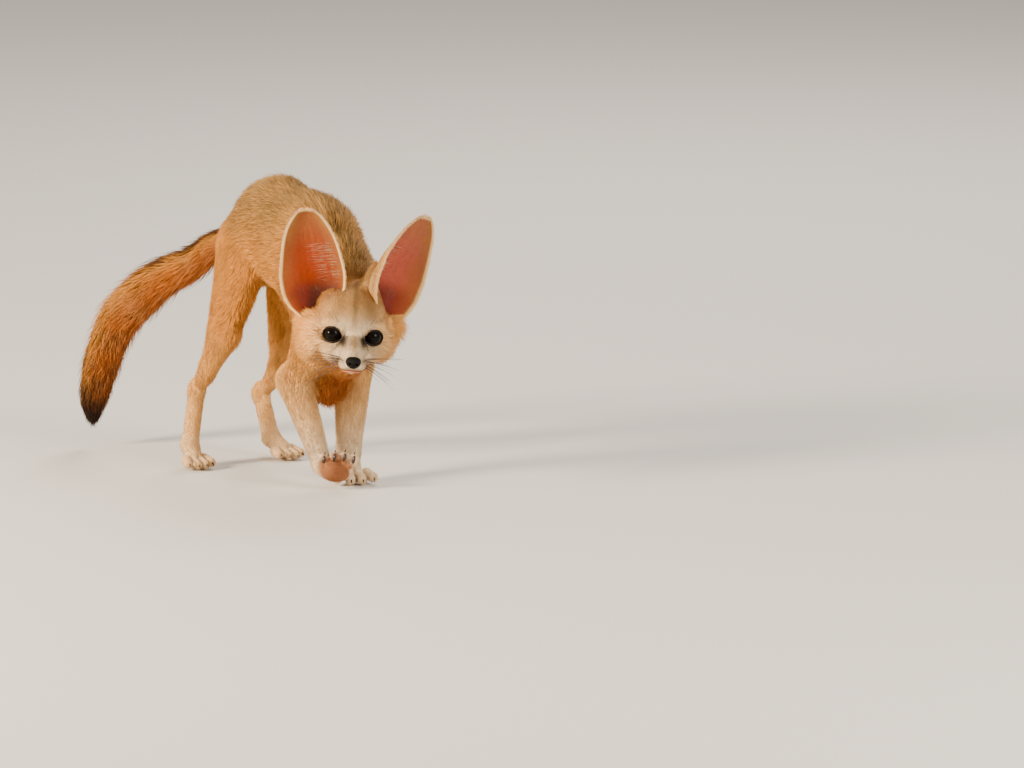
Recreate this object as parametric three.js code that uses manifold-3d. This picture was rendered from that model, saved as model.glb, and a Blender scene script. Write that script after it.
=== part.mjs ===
import * as THREE from 'three';
import Module from 'manifold-3d';

// A fennec fox at life size, stepping forward with its right fore paw off the floor.
// Millimetres. The fox faces -Y, its left side is +X and the floor is z = 0.

const wasm = await Module();
wasm.setup();

// Driving dimensions

const GAP = 0.3;
const WELD = 0.06;

const HEAD_PLACE = [-18.4, -127.4, 139.3];
const HEAD_YAW = 28;
const HEAD_PITCH = 4;
const HEAD_ROLL = 5.5;

const EYE_RADIUS = 9;
const EYE_FORWARD = -3.6;
const EYE_APART = 16.3;
const LID_WIDE = 8.1;
const LID_TALL = 7;
const LID_THICK = 1.3;

const EAR_THICK = 3.0;
const PAW_FLAT = 0.7;
const CLAW_LENGTH = 5;
const CLAW_RADIUS = 1.6;

// Moves the middle of the fox's footprint to the origin
const ORIGIN = [20.5, -24.8, -PAW_FLAT];

const FIGURE = {
  hipRight: [-22, 46, 192], kneeRight: [-53, 32, 120], hockRight: [-57, 76, 67], ballRight: [-65.5, 65, 8.6],
  hipLeft: [22, 45, 190], kneeLeft: [30, 40, 112], hockLeft: [21, 100, 54], ballLeft: [24, 66, 8.6],
  heelRight: [-66, 73, 20], heelLeft: [20, 81, 18],
  bladeRight: [-16, -34, 205], shoulderRight: [-23, -75, 133], elbowRight: [-28, -44, 90],
  bladeLeft: [22, -34, 205], shoulderLeft: [28, -74, 134], elbowLeft: [32, -42, 97],
  wristRight: [-24.8, -84, 24], palmRight: [-18.5, -94, 19],
  wristLeft: [16, -61, 30], palmLeft: [13, -72.5, 8.8],
};

const TAIL_PATH = [
  [-1, 84, 200], [-18, 112, 187], [-31, 128, 171], [-50, 152, 155], [-61, 167, 140], [-72, 181, 122],
  [-80, 191, 99], [-85, 198, 74], [-88, 202, 52], [-90, 204, 33], [-90, 205, 19],
];
const TAIL_RADIUS = [12, 13, 16.5, 19.8, 20.8, 20, 18, 17.5, 14.5, 10.5, 2];

// Long coat of the tail: rows of locks over a core
const TAIL_BONE = 5;
const LOCK_ROWS = 8;
const LOCKS_ROUND = 6;
const LOCK_LENGTH = 46;
const LOCK_WIDTH = 15;
const LOCK_THICK = 4.4;

// Vectors

const add = (a, b) => [a[0] + b[0], a[1] + b[1], a[2] + b[2]];
const sub = (a, b) => [a[0] - b[0], a[1] - b[1], a[2] - b[2]];
const scale = (a, s) => [a[0] * s, a[1] * s, a[2] * s];
const dot = (a, b) => a[0] * b[0] + a[1] * b[1] + a[2] * b[2];
const cross = (a, b) => [a[1] * b[2] - a[2] * b[1], a[2] * b[0] - a[0] * b[2], a[0] * b[1] - a[1] * b[0]];
const size = (a) => Math.sqrt(dot(a, a));
const unit = (a) => scale(a, 1 / size(a));
const mix = (a, b, t) => add(scale(a, 1 - t), scale(b, t));
const sum = (base, axes, amounts) => axes.reduce((p, axis, i) => add(p, scale(axis, amounts[i])), base);

const SIDE = [1, 0, 0];
const UP = [0, 0, 1];
const WORLD = [[1, 0, 0], [0, 1, 0], [0, 0, 1]];

// Three unit axes whose last one runs along a direction
function axesAlong(direction, hint = SIDE) {
  const w = unit(direction);
  const u = unit(sub(hint, scale(w, dot(hint, w))));
  return [u, cross(w, u), w];
}

// Value of a curve given by knots
function curve(t, knots, values) {
  if (t <= knots[0]) return values[0];
  for (let i = 1; i < knots.length; i += 1) {
    if (t <= knots[i]) {
      const f = (t - knots[i - 1]) / (knots[i] - knots[i - 1]);
      return values[i - 1] + (values[i] - values[i - 1]) * f;
    }
  }
  return values[values.length - 1];
}

// Even random draws between 0 and 1 that repeat from run to run
function seeded(seed) {
  let state = seed;
  return () => {
    state = (state * 16807) % 2147483647;
    return state / 2147483647;
  };
}

// The head has its own axes: forward, towards its left, up

function headAxes() {
  const [yaw, pitch, roll] = [HEAD_YAW, HEAD_PITCH, HEAD_ROLL].map(THREE.MathUtils.degToRad);
  const forward = [-Math.sin(yaw) * Math.cos(pitch), -Math.cos(yaw) * Math.cos(pitch), -Math.sin(pitch)];
  const level = [Math.cos(yaw), -Math.sin(yaw), 0];
  const upright = cross(forward, level);
  const left = sub(scale(level, Math.cos(roll)), scale(upright, Math.sin(roll)));
  return [forward, left, cross(forward, left)];
}
const HEAD_AXES = headAxes();
const inHead = (f, l, u) => sum(HEAD_PLACE, HEAD_AXES, [f, l, u]);
const turnedByHead = (f, l, u) => sum([0, 0, 0], HEAD_AXES, [f, l, u]);

// Rounded forms, blended one after another into a field that is negative inside

// A round cone between two points; press narrows it along one direction
function bone(a, b, radiusA, radiusB, blend, press = 1, across = SIDE) {
  const along = sub(b, a);
  const lengthSquared = dot(along, along);
  const flat = unit(sub(across, scale(along, dot(across, along) / lengthSquared)));
  const reach = Math.max(radiusA, radiusB);
  return {
    blend,
    lo: a.map((v, i) => Math.min(v, b[i]) - reach),
    hi: a.map((v, i) => Math.max(v, b[i]) + reach),
    distance(p) {
      let q = sub(p, a);
      if (press !== 1) q = add(q, scale(flat, dot(q, flat) * (1 / press - 1)));
      const t = Math.min(1, Math.max(0, dot(q, along) / lengthSquared));
      const away = size(sub(q, scale(along, t)));
      return (away - radiusA - (radiusB - radiusA) * t) * Math.min(1, press);
    },
  };
}

function egg(centre, radii, blend, axes = WORLD) {
  const reach = Math.max(...radii);
  return {
    blend,
    lo: centre.map((v) => v - reach),
    hi: centre.map((v) => v + reach),
    distance(p) {
      const q = sub(p, centre);
      const r = axes.map((axis, i) => dot(q, axis) / radii[i]);
      const steep = size(r.map((v, i) => v / radii[i]));
      const far = size(r);
      return steep < 1e-9 ? -Math.min(...radii) : (far * (far - 1)) / steep;
    },
  };
}

const hollow = (form) => ({ ...form, hollow: true });

function softMin(a, b, blend) {
  const h = Math.max(blend - Math.abs(a - b), 0) / blend;
  return Math.min(a, b) - h * h * blend * 0.25;
}

function fieldOf(forms) {
  const margin = 16;
  return (p) => {
    let value = 60;
    for (const form of forms) {
      const m = margin + form.blend;
      const near = p.every((v, i) => v > form.lo[i] - m && v < form.hi[i] + m);
      if (!near) continue;
      const d = form.distance(p);
      value = form.hollow ? -softMin(-value, d, form.blend) : softMin(value, d, form.blend);
    }
    return value;
  };
}

// Trunk and neck

const trunk = [
  egg([0, 52, 204], [33, 36, 38], 14),
  egg([-1, 30, 208], [35, 39, 45], 14),
  bone([0, 20, 209], [2, -20, 201], 46, 46, 16, 0.8),
  bone([2, -20, 198], [5, -50, 164], 47, 43, 16, 0.82),
  bone([5, -46, 172], [4, -70, 140], 38, 31, 14, 0.9),
  egg([3, -58, 122], [24, 26, 30], 14),
  egg([-1, -60, 99], [24, 19, 31], 10),
];

const neck = [
  bone([4, -52, 176], inHead(-36, 0, 6), 32, 27, 16),
  bone([3, -66, 142], inHead(-26, 0, -10), 28, 22, 16),
  bone([1, -64, 114], inHead(-22, 0, -22), 22, 18, 12),
];

// Legs

const joints = (side, names) => names.map((name) => FIGURE[name + side]);

function hindLeg(side) {
  const [hip, knee, hock, heel, ball] = joints(side, ['hip', 'knee', 'hock', 'heel', 'ball']);
  const buttock = add(hip, [0, 16, 2]);
  return {
    thigh: [
      bone(hip, mix(knee, hip, 0.12), 33, 19, 12, 0.68),
      bone(buttock, mix(knee, hock, 0.65), 24, 9, 12, 0.72),
    ],
    shank: [
      bone(knee, hock, 15, 8, 8, 0.8),
      egg(add(hock, [0, 3, 3]), [7, 8.5, 9.5], 5),
    ],
    foot: [
      bone(hock, heel, 8.2, 8.4, 5),
      bone(heel, ball, 8.4, 8.6, 5),
    ],
  };
}

function foreLeg(side, atElbow, atWrist) {
  const [blade, shoulder, elbow, wrist] = joints(side, ['blade', 'shoulder', 'elbow', 'wrist']);
  return {
    shoulder: [
      bone(blade, shoulder, 22, 24, 14, 0.6),
      bone(shoulder, elbow, 22, 16, 12, 0.78),
    ],
    forearm: [
      bone(elbow, wrist, atElbow, atWrist, 8),
      egg(add(elbow, [0, 7, 2]), [8, 9, 9], 6),
    ],
  };
}

// Four toes side by side, the middle two longest
const TOE_ROW = [[-1.5, 0.72], [-0.5, 1], [0.5, 1], [1.5, 0.72]];
const TOE_FAN = 1.12;

function toes({ ball, forward, side, apart, radius, reach }) {
  return TOE_ROW.map(([place, far]) => {
    const root = sum(ball, [side], [place * apart * 0.86]);
    const tip = sum(ball, [side, forward], [place * apart * TOE_FAN, reach * far]);
    return bone(root, tip, radius * 1.1, radius, 1.2);
  });
}

function claws({ ball, forward, side, apart, radius, reach }, up) {
  const cones = TOE_ROW.map(([place, far]) => {
    const amounts = [place * apart * TOE_FAN, reach * far + radius * 0.4, radius * 0.1];
    const root = sum(ball, [side, forward, up], amounts);
    const tip = sum(root, [forward, up], [CLAW_LENGTH, -0.4 * CLAW_LENGTH]);
    return spike(root, tip, CLAW_RADIUS, side);
  });
  return wasm.Manifold.union(cones);
}

const LEGS = {
  hindRight: hindLeg('Right'),
  hindLeft: hindLeg('Left'),
  foreRight: foreLeg('Right', 15, 8.8),
  foreLeft: foreLeg('Left', 16.5, 10.8),
};

// Each paw: where it is, the way its toes point, its breadth
const PAWS = {
  hindRight: {
    ball: FIGURE.ballRight,
    forward: unit([-0.12, -1, -0.18]),
    side: unit([1, -0.12, 0]),
    apart: 6.4,
    radius: 4.8,
    reach: 15,
  },
  hindLeft: {
    ball: FIGURE.ballLeft,
    forward: unit([0.02, -1, -0.18]),
    side: [1, 0, 0],
    apart: 6.4,
    radius: 4.8,
    reach: 15,
  },
  foreLeft: {
    ball: FIGURE.palmLeft,
    forward: unit([-0.3, -0.95, -0.16]),
    side: unit([0.95, -0.3, 0]),
    apart: 9.4,
    radius: 5.2,
    reach: 15,
  },
  foreRight: {
    ball: add(FIGURE.palmRight, [0, 0, 4]),
    forward: unit([0.1, -0.26, 1]),
    side: unit([0.866, -0.5, 0]),
    apart: 9,
    radius: 4.5,
    reach: 13.5,
  },
};

// Head

const mirrored = (make) => [-1, 1].flatMap(make);

const skull = [
  egg(inHead(-26, 0, 11), [33, 30, 27.5], 10, HEAD_AXES),
  egg(inHead(-11, 0, 7), [20, 23, 20], 8, HEAD_AXES),
  bone(inHead(-10, 0, -7), inHead(18, 0, -11.5), 19, 11.5, 8),
  egg(inHead(-16, -26, -7), [17, 19, 18], 8, HEAD_AXES),
  egg(inHead(-16, 19, -6), [17, 16, 18], 8, HEAD_AXES),
  bone(inHead(-20, -22, 0), inHead(-25, -38, 17), 16, 14, 8),
  bone(inHead(-20, 20, 0), inHead(-25, 33, 17), 15, 13, 8),
  ...mirrored((m) => [
    egg(inHead(-5, m * 14.5, -14.5), [16, 12, 11], 6, HEAD_AXES),
    egg(inHead(-4, m * 16, 9.5), [7, 10, 6], 5, HEAD_AXES),
  ]),
  bone(inHead(12, 0, -11.5), inHead(37, 0, -15.2), 11, 6.4, 6),
  bone(inHead(-6, 0, -20), inHead(29, 0, -22.8), 12, 4.8, 5),
  ...mirrored((m) => [egg(inHead(25, m * 6, -18.5), [13, 7, 6], 3, HEAD_AXES)]),
];

// The ears, in the head's axes

const EARS = {
  right: {
    base: [-20, -34, 21],
    tip: [-28, -50, 101],
    facing: [1, -0.05, -0.1],
    outward: -1,
    inner: [12, 18, 27, 28.5, 27, 23.5, 18, 12, 6.5, 2],
    depth: [11, 17, 18, 14, 9, 5.5, 2],
  },
  left: {
    base: [-22, 33, 23],
    tip: [-33, 55.5, 102],
    facing: [0.84, 0.55, -0.1],
    outward: 1,
    inner: [11, 14, 19, 22.5, 24.5, 22.5, 18, 12, 6.5, 2],
    depth: [13, 21, 25, 21, 13, 7, 2],
  },
};

function earAxes(ear) {
  const base = inHead(...ear.base);
  const tip = inHead(...ear.tip);
  const along = unit(sub(tip, base));
  const aim = turnedByHead(...ear.facing);
  const facing = unit(sub(aim, scale(along, dot(aim, along))));
  const sideways = unit(cross(along, facing));
  const outward = scale(sideways, Math.sign(dot(sideways, HEAD_AXES[1])) * ear.outward);
  return { base, reach: size(sub(tip, base)), along, outward, facing };
}

// The bowl that each ear opens into
const earBowls = Object.values(EARS).map((ear) => {
  const { base, along, outward, facing } = earAxes(ear);
  return hollow(egg(sum(base, [along, facing], [17, 3]), [17, 17, 23], 5, [outward, facing, along]));
});

// Meshing: one vertex in each cell that the surface crosses, moved onto the surface

function clampTo(value, limit) {
  return Math.max(-limit, Math.min(limit, value));
}

function slope(field, p) {
  const h = 0.3;
  return [0, 1, 2].map((i) => {
    const ahead = [...p];
    const behind = [...p];
    ahead[i] += h;
    behind[i] -= h;
    return (field(ahead) - field(behind)) / (2 * h);
  });
}

function ontoSurface(field, start, limit) {
  let p = start;
  for (let round = 0; round < 4; round += 1) {
    const g = slope(field, p);
    const steep = dot(g, g);
    if (steep < 1e-6) return start;
    p = sub(p, scale(g, clampTo(field(p), limit) / steep));
  }
  return size(sub(p, start)) < 2 * limit ? p : start;
}

// Grid lines across a box; a cell given as a pair grows from the first size to the last
function gridLines(half, cell) {
  const [first, last] = Array.isArray(cell) ? cell : [cell, cell];
  const lines = [-half];
  while (lines[lines.length - 1] < half) {
    const here = lines[lines.length - 1];
    lines.push(here + first + (last - first) * Math.min(1, (here + half) / (2 * half)));
  }
  return lines;
}

// box: centre, axes, half sizes and cell sizes along those axes
function meshField(field, box) {
  const { centre, axes, half, cell } = box;
  const lines = half.map((h, i) => gridLines(h, cell[i]));
  const count = lines.map((line) => line.length);
  const [nx, ny, nz] = count;
  const along = (d, n) => {
    const low = Math.min(Math.floor(n), count[d] - 2);
    return lines[d][low] + (lines[d][low + 1] - lines[d][low]) * (n - low);
  };
  const at = (i, j, k) => sum(centre, axes, [along(0, i), along(1, j), along(2, k)]);
  const index = (i, j, k) => (i * ny + j) * nz + k;
  const small = Math.min(...cell.flat());
  const values = new Float64Array(nx * ny * nz);
  for (let i = 0; i < nx; i += 1) {
    for (let j = 0; j < ny; j += 1) {
      for (let k = 0; k < nz; k += 1) {
        const edge = i === 0 || j === 0 || k === 0 || i === nx - 1 || j === ny - 1 || k === nz - 1;
        const value = field(at(i, j, k));
        values[index(i, j, k)] = edge ? Math.max(value, small * 0.5) : value;
      }
    }
  }

  const corners = [];
  for (let n = 0; n < 8; n += 1) corners.push([n & 1, (n >> 1) & 1, (n >> 2) & 1]);
  const edges = [];
  for (let n = 0; n < 8; n += 1) {
    for (let d = 0; d < 3; d += 1) {
      if (!(n & (1 << d))) edges.push([n, n | (1 << d)]);
    }
  }

  const vertexOf = new Map();
  const points = [];
  for (let i = 0; i < nx - 1; i += 1) {
    for (let j = 0; j < ny - 1; j += 1) {
      for (let k = 0; k < nz - 1; k += 1) {
        const v = corners.map(([a, b, c]) => values[index(i + a, j + b, k + c)]);
        const inside = v.filter((value) => value < 0).length;
        if (inside === 0 || inside === 8) continue;
        let total = [0, 0, 0];
        let crossings = 0;
        for (const [a, b] of edges) {
          if ((v[a] < 0) === (v[b] < 0)) continue;
          total = add(total, mix(corners[a], corners[b], v[a] / (v[a] - v[b])));
          crossings += 1;
        }
        const middle = scale(total, 1 / crossings);
        const raw = at(i + middle[0], j + middle[1], k + middle[2]);
        const rim = i === 0 || j === 0 || k === 0 || i === nx - 2 || j === ny - 2 || k === nz - 2;
        vertexOf.set(index(i, j, k), points.length);
        points.push(rim ? raw : ontoSurface(field, raw, small * 0.6));
      }
    }
  }

  const faces = [];
  const far = (a, b) => size(sub(points[a], points[b]));
  const addQuad = (a, b, c, d) => {
    if (far(a, c) <= far(b, d)) faces.push(a, b, c, a, c, d);
    else faces.push(b, c, d, b, d, a);
  };
  for (let i = 1; i < nx - 1; i += 1) {
    for (let j = 1; j < ny - 1; j += 1) {
      for (let k = 1; k < nz - 1; k += 1) {
        const here = values[index(i, j, k)] < 0;
        for (let d = 0; d < 3; d += 1) {
          const next = [i, j, k];
          next[d] += 1;
          if ((values[index(...next)] < 0) === here) continue;
          const [e, f] = [(d + 1) % 3, (d + 2) % 3];
          const ring = [[-1, -1], [0, -1], [0, 0], [-1, 0]].map(([s, t]) => {
            const where = [i, j, k];
            where[e] += s;
            where[f] += t;
            return vertexOf.get(index(...where));
          });
          if (here) addQuad(...ring);
          else addQuad(...ring.reverse());
        }
      }
    }
  }
  for (let d = 0; d < 3; d += 1) {
    const [e, f] = [(d + 1) % 3, (d + 2) % 3];
    for (let s = 1; s < count[e] - 1; s += 1) {
      for (let t = 1; t < count[f] - 1; t += 1) {
        const first = [0, 0, 0];
        first[e] = s;
        first[f] = t;
        const next = [...first];
        next[d] = 1;
        if (values[index(...next)] >= 0) continue;
        const ring = [[-1, -1], [0, -1], [0, 0], [-1, 0]].map(([a, b]) => {
          const where = [...first];
          where[e] += a;
          where[f] += b;
          return vertexOf.get(index(...where));
        });
        addQuad(...ring.reverse());
      }
    }
  }
  return solidFrom(points, faces);
}

// Solids

function solidFrom(points, faces) {
  const mesh = new wasm.Mesh({
    numProp: 3,
    vertProperties: new Float32Array(points.flat()),
    triVerts: new Uint32Array(faces),
  });
  return new wasm.Manifold(mesh);
}

// A solid whose faces may all run the wrong way round
function solidEitherWay(points, faces) {
  const solid = solidFrom(points, faces);
  if (solid.volume() > 0) return solid;
  const turned = [];
  for (let n = 0; n < faces.length; n += 3) turned.push(faces[n], faces[n + 2], faces[n + 1]);
  return solidFrom(points, turned);
}

// The largest closed surface of a solid
function mainPiece(solid) {
  const pieces = solid.decompose();
  return withoutSlivers(pieces.reduce((best, piece) => (piece.volume() > best.volume() ? piece : best)));
}

// Joins vertices that a cut leaves almost on top of each other
function withoutSlivers(solid) {
  const mesh = solid.getMesh();
  const at = (n) => [...mesh.vertProperties.slice(n * mesh.numProp, n * mesh.numProp + 3)];
  const count = mesh.vertProperties.length / mesh.numProp;
  const points = Array.from({ length: count }, (_, n) => at(n));
  const keeper = points.map((_, n) => n);
  const find = (n) => (keeper[n] === n ? n : find(keeper[n]));
  for (let n = 0; n < mesh.triVerts.length; n += 3) {
    for (let k = 0; k < 3; k += 1) {
      const [a, b] = [find(mesh.triVerts[n + k]), find(mesh.triVerts[n + ((k + 1) % 3)])];
      if (a !== b && size(sub(points[a], points[b])) < WELD) keeper[Math.max(a, b)] = Math.min(a, b);
    }
  }
  const faces = [];
  for (let n = 0; n < mesh.triVerts.length; n += 3) {
    const [a, b, c] = [0, 1, 2].map((k) => find(mesh.triVerts[n + k]));
    if (a !== b && b !== c && c !== a) faces.push(a, b, c);
  }
  try {
    return solidFrom(points, faces);
  } catch {
    return solid;
  }
}

// Rings of points joined into a closed tube
function tube(rings) {
  const across = rings[0].length;
  const points = rings.flat();
  const faces = [];
  for (let r = 0; r + 1 < rings.length; r += 1) {
    for (let n = 0; n < across; n += 1) {
      const [a, b] = [r * across + n, r * across + ((n + 1) % across)];
      faces.push(a, b, b + across, a, b + across, a + across);
    }
  }
  const last = (rings.length - 1) * across;
  for (let n = 1; n + 1 < across; n += 1) {
    faces.push(0, n + 1, n);
    faces.push(last, last + n, last + n + 1);
  }
  return solidFrom(points, faces);
}

// A tube whose rings may run either way round
function outwards(rings) {
  const solid = tube(rings);
  return solid.volume() > 0 ? solid : tube(rings.map((ring) => [...ring].reverse()));
}

function spike(root, tip, radius, hint) {
  const [u, v, w] = axesAlong(sub(tip, root), hint);
  const ring = (centre, r) => [0, 1, 2, 3].map((n) => {
    const angle = (n / 4) * 2 * Math.PI;
    return sum(centre, [u, v], [r * Math.cos(angle), r * Math.sin(angle)]);
  });
  return tube([ring(sum(root, [w], [-3]), radius), ring(tip, 0.3)]);
}

function ball(centre, radius, across, down) {
  const points = [sum(centre, WORLD, [0, 0, radius])];
  const faces = [];
  for (let r = 1; r < down; r += 1) {
    const polar = (r / down) * Math.PI;
    for (let n = 0; n < across; n += 1) {
      const angle = (n / across) * 2 * Math.PI;
      const out = [Math.sin(polar) * Math.cos(angle), Math.sin(polar) * Math.sin(angle), Math.cos(polar)];
      points.push(sum(centre, WORLD, scale(out, radius)));
    }
  }
  points.push(sum(centre, WORLD, [0, 0, -radius]));
  const end = points.length - 1;
  const ringStart = (r) => 1 + (r - 1) * across;
  for (let n = 0; n < across; n += 1) {
    const next = (n + 1) % across;
    faces.push(0, 1 + n, 1 + next);
    faces.push(end, ringStart(down - 1) + next, ringStart(down - 1) + n);
    for (let r = 1; r < down - 1; r += 1) {
      const [a, b] = [ringStart(r) + n, ringStart(r) + next];
      faces.push(a, a + across, b + across, a, b + across, b);
    }
  }
  return solidFrom(points, faces);
}

// A block whose near face holds a point and which lies on the side its direction shows
function block(point, direction, reach, grow = 0, hint = [0, 1, 0]) {
  const [u, v, w] = axesAlong(direction, hint);
  const [wide, tall, deep] = reach;
  const size3 = [wide + 2 * grow, tall + 2 * grow, deep + 2 * grow];
  const shape = new THREE.BoxGeometry(...size3);
  const middle = sum(point, [w], [deep / 2]);
  const turn = new THREE.Matrix4().makeBasis(...[u, v, w].map((axis) => new THREE.Vector3(...axis)));
  shape.applyMatrix4(turn);
  shape.translate(...middle);
  return solidOfGeometry(shape);
}

function solidOfGeometry(geometry) {
  const place = geometry.attributes.position;
  const points = [];
  const seen = new Map();
  const same = [];
  for (let n = 0; n < place.count; n += 1) {
    const p = [place.getX(n), place.getY(n), place.getZ(n)];
    const key = p.map((v) => Math.round(v * 1e4)).join(' ');
    if (!seen.has(key)) {
      seen.set(key, points.length);
      points.push(p);
    }
    same.push(seen.get(key));
  }
  return solidFrom(points, [...geometry.index.array].map((n) => same[n]));
}

// The middle line of the tail

function smoothPath(path, radii, steps) {
  const line = new THREE.CatmullRomCurve3(path.map((p) => new THREE.Vector3(...p)));
  const out = [];
  for (let n = 0; n <= steps; n += 1) {
    const p = line.getPoint(n / steps);
    const radius = curve((n / steps) * (path.length - 1), path.map((_, i) => i), radii);
    out.push({ at: [p.x, p.y, p.z], radius });
  }
  return out;
}

const TAIL_STEPS = 30;
const tailLine = smoothPath(TAIL_PATH, TAIL_RADIUS, TAIL_STEPS);
const tailSpans = tailLine.slice(1).map((next, n) => [tailLine[n], next]);
const TAIL_LENGTH = tailSpans.reduce((length, [a, b]) => length + size(sub(b.at, a.at)), 0);
const tailForms = tailSpans.map(([a, b]) => bone(a.at, b.at, a.radius, b.radius, 1));

// Cuts between neighbouring nodes: [point, direction into the far node, extents of the block]
const CUTS = {
  neck: { point: [2, -76, 150], direction: [-0.1, -0.9, 0.3], reach: [300, 300, 200] },
  head: { point: inHead(-39, 0, 119), direction: HEAD_AXES[0], reach: [300, 300, 300], hint: HEAD_AXES[1] },
  hindRight: { point: [-20, 62, 156], direction: [-0.5, 0, -0.86], reach: [116, 300, 300] },
  hindLeft: { point: [22, 62, 156], direction: [0.5, 0, -0.86], reach: [116, 300, 300] },
  foreRight: { point: [-17, -68, 101], direction: [-0.9, 0, -0.43], reach: [96, 300, 300] },
  foreLeft: { point: [23, -68, 101], direction: [0.9, 0, -0.43], reach: [96, 300, 300] },
  tail: { point: tailLine[1].at, direction: sub(tailLine[2].at, tailLine[0].at), reach: [34, 34, 400] },
};

const farSide = (cut) => block(cut.point, cut.direction, cut.reach, -GAP / 2, cut.hint);
const farSideGrown = (cut) => block(cut.point, cut.direction, cut.reach, GAP / 2, cut.hint);
const keepFar = (solid, cut) => solid.intersect(farSide(cut));
const takeFar = (solid, cut) => solid.subtract(farSideGrown(cut));

// A plain cut square to a limb at a point
const across = (point, direction) => ({ point, direction, reach: [400, 400, 400] });

// Meshes of the parts

function boxAround(a, b, wide, cell, extra = 20, hint = SIDE) {
  const axes = axesAlong(sub(b, a), hint);
  return {
    centre: mix(a, b, 0.5),
    axes,
    half: [wide, wide, size(sub(b, a)) / 2 + extra],
    cell,
  };
}

function makeTorso() {
  const fore = [LEGS.foreRight, LEGS.foreLeft].flatMap((leg) => [...leg.shoulder, ...leg.forearm]);
  const hind = [LEGS.hindRight, LEGS.hindLeft].flatMap((leg) => leg.thigh);
  const forms = [...trunk, ...neck, ...hind, ...fore, ...tailForms.slice(0, 6)];
  let solid = meshField(fieldOf(forms), {
    centre: [-2, 8, 166],
    axes: WORLD,
    half: [64, 116, 102],
    cell: [10, 11, 10.5],
  });
  for (const name of Object.keys(CUTS)) {
    if (name !== 'head') solid = takeFar(solid, CUTS[name]);
  }
  return mainPiece(solid);
}

function makeNeck() {
  const forms = [...trunk, ...neck, ...skull, ...LEGS.foreRight.shoulder, ...LEGS.foreLeft.shoulder];
  let solid = meshField(fieldOf(forms), {
    centre: [-2, -84, 170],
    axes: axesAlong(CUTS.neck.direction),
    half: [62, 100, 54],
    cell: [9.5, 9.5, 9],
  });
  solid = keepFar(solid, CUTS.neck);
  for (const name of ['head', 'foreRight', 'foreLeft']) solid = takeFar(solid, CUTS[name]);
  for (const ear of Object.values(EARS)) solid = solid.subtract(earLeaf(ear, 2 * GAP));
  return mainPiece(solid);
}

// Tail

function tailFrame(n) {
  const ahead = tailLine[Math.min(Math.ceil(n) + 1, TAIL_STEPS)].at;
  const behind = tailLine[Math.max(Math.floor(n) - 1, 0)].at;
  const [low, high] = [Math.min(Math.floor(n), TAIL_STEPS), Math.min(Math.ceil(n), TAIL_STEPS)];
  const [u, v, w] = axesAlong(sub(ahead, behind));
  return {
    at: mix(tailLine[low].at, tailLine[high].at, n - low),
    radius: tailLine[low].radius + (tailLine[high].radius - tailLine[low].radius) * (n - low),
    u,
    v,
    w,
  };
}
const coreRadius = (radius) => Math.min(radius, TAIL_BONE) + Math.max(0, radius - TAIL_BONE) * 0.5;

function tailCore() {
  const rings = [];
  const count = 10;
  for (let n = 0; n <= TAIL_STEPS; n += 2) {
    const { at, radius, u, v } = tailFrame(n);
    const ring = [];
    for (let k = 0; k < count; k += 1) {
      const angle = (k / count) * 2 * Math.PI;
      const thick = n < 4 ? radius : coreRadius(radius);
      ring.push(sum(at, [u, v], [thick * Math.cos(angle), thick * Math.sin(angle)]));
    }
    rings.push(ring);
  }
  return tube(rings);
}

// Along a lock: share of its length, rise from core to outline, breadth and thickness
const LOCK_STATIONS = [[0, -3, 0.55, 1], [0.35, 0.5, 1, 1], [0.7, 0.84, 0.8, 0.75], [1, 1, 0.06, 0.15]];

// A flat lock that leaves the core, rises to the outline of the tail and tapers to its tip
function tailLock(start, angle, length, lean) {
  const perStep = TAIL_LENGTH / TAIL_STEPS;
  const rings = LOCK_STATIONS.map(([t, rise, wide, thick]) => {
    const along = start + (t * length) / perStep;
    const over = Math.max(0, along - TAIL_STEPS) * perStep;
    const { at, radius, u, v, w } = tailFrame(Math.min(along, TAIL_STEPS));
    const core = coreRadius(radius);
    const far = rise < 0 ? core + rise : core + (radius - core) * rise;
    const turn = angle + lean * t * t;
    const out = sum([0, 0, 0], [u, v], [Math.cos(turn), Math.sin(turn)]);
    const side = sum([0, 0, 0], [u, v], [-Math.sin(turn), Math.cos(turn)]);
    const centre = sum(at, [out, w], [far, over]);
    const broad = LOCK_WIDTH * 0.5 * wide * curve(radius, [4, 18], [0.45, 1]);
    const deep = LOCK_THICK * 0.5 * thick;
    return [[1, 0], [0, 1], [-1, 0], [0, -1]].map(([a, b]) => sum(centre, [side, out], [a * broad, b * deep]));
  });
  return outwards(rings);
}

function tailLocks() {
  const draw = seeded(7);
  const locks = [];
  for (let row = 0; row < LOCK_ROWS; row += 1) {
    const start = 2.4 + (row / (LOCK_ROWS - 1)) * (TAIL_STEPS - 8);
    for (let k = 0; k < LOCKS_ROUND; k += 1) {
      const angle = ((k + (row % 2) * 0.5 + (draw() - 0.5) * 0.3) / LOCKS_ROUND) * 2 * Math.PI;
      const length = LOCK_LENGTH * (0.88 + 0.24 * draw());
      locks.push(tailLock(start + (draw() - 0.5) * 0.8, angle, length, (draw() - 0.5) * 0.5));
    }
  }
  return locks;
}

function makeTail() {
  const cutAt = (n) => across(tailLine[n].at, sub(tailLine[n + 1].at, tailLine[n - 1].at));
  const whole = wasm.Manifold.union([tailCore(), ...tailLocks()]);
  const [first, second] = [cutAt(12), cutAt(21)];
  return [
    mainPiece(takeFar(keepFar(whole, across(CUTS.tail.point, CUTS.tail.direction)), first)),
    mainPiece(takeFar(keepFar(whole, first), second)),
    mainPiece(keepFar(whole, second)),
  ];
}

// Solids of the legs

const floorCut = across([0, 0, PAW_FLAT - GAP / 2], UP);
const pawAxes = (paw) => [paw.side, unit(cross(UP, paw.side)), UP];

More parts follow.
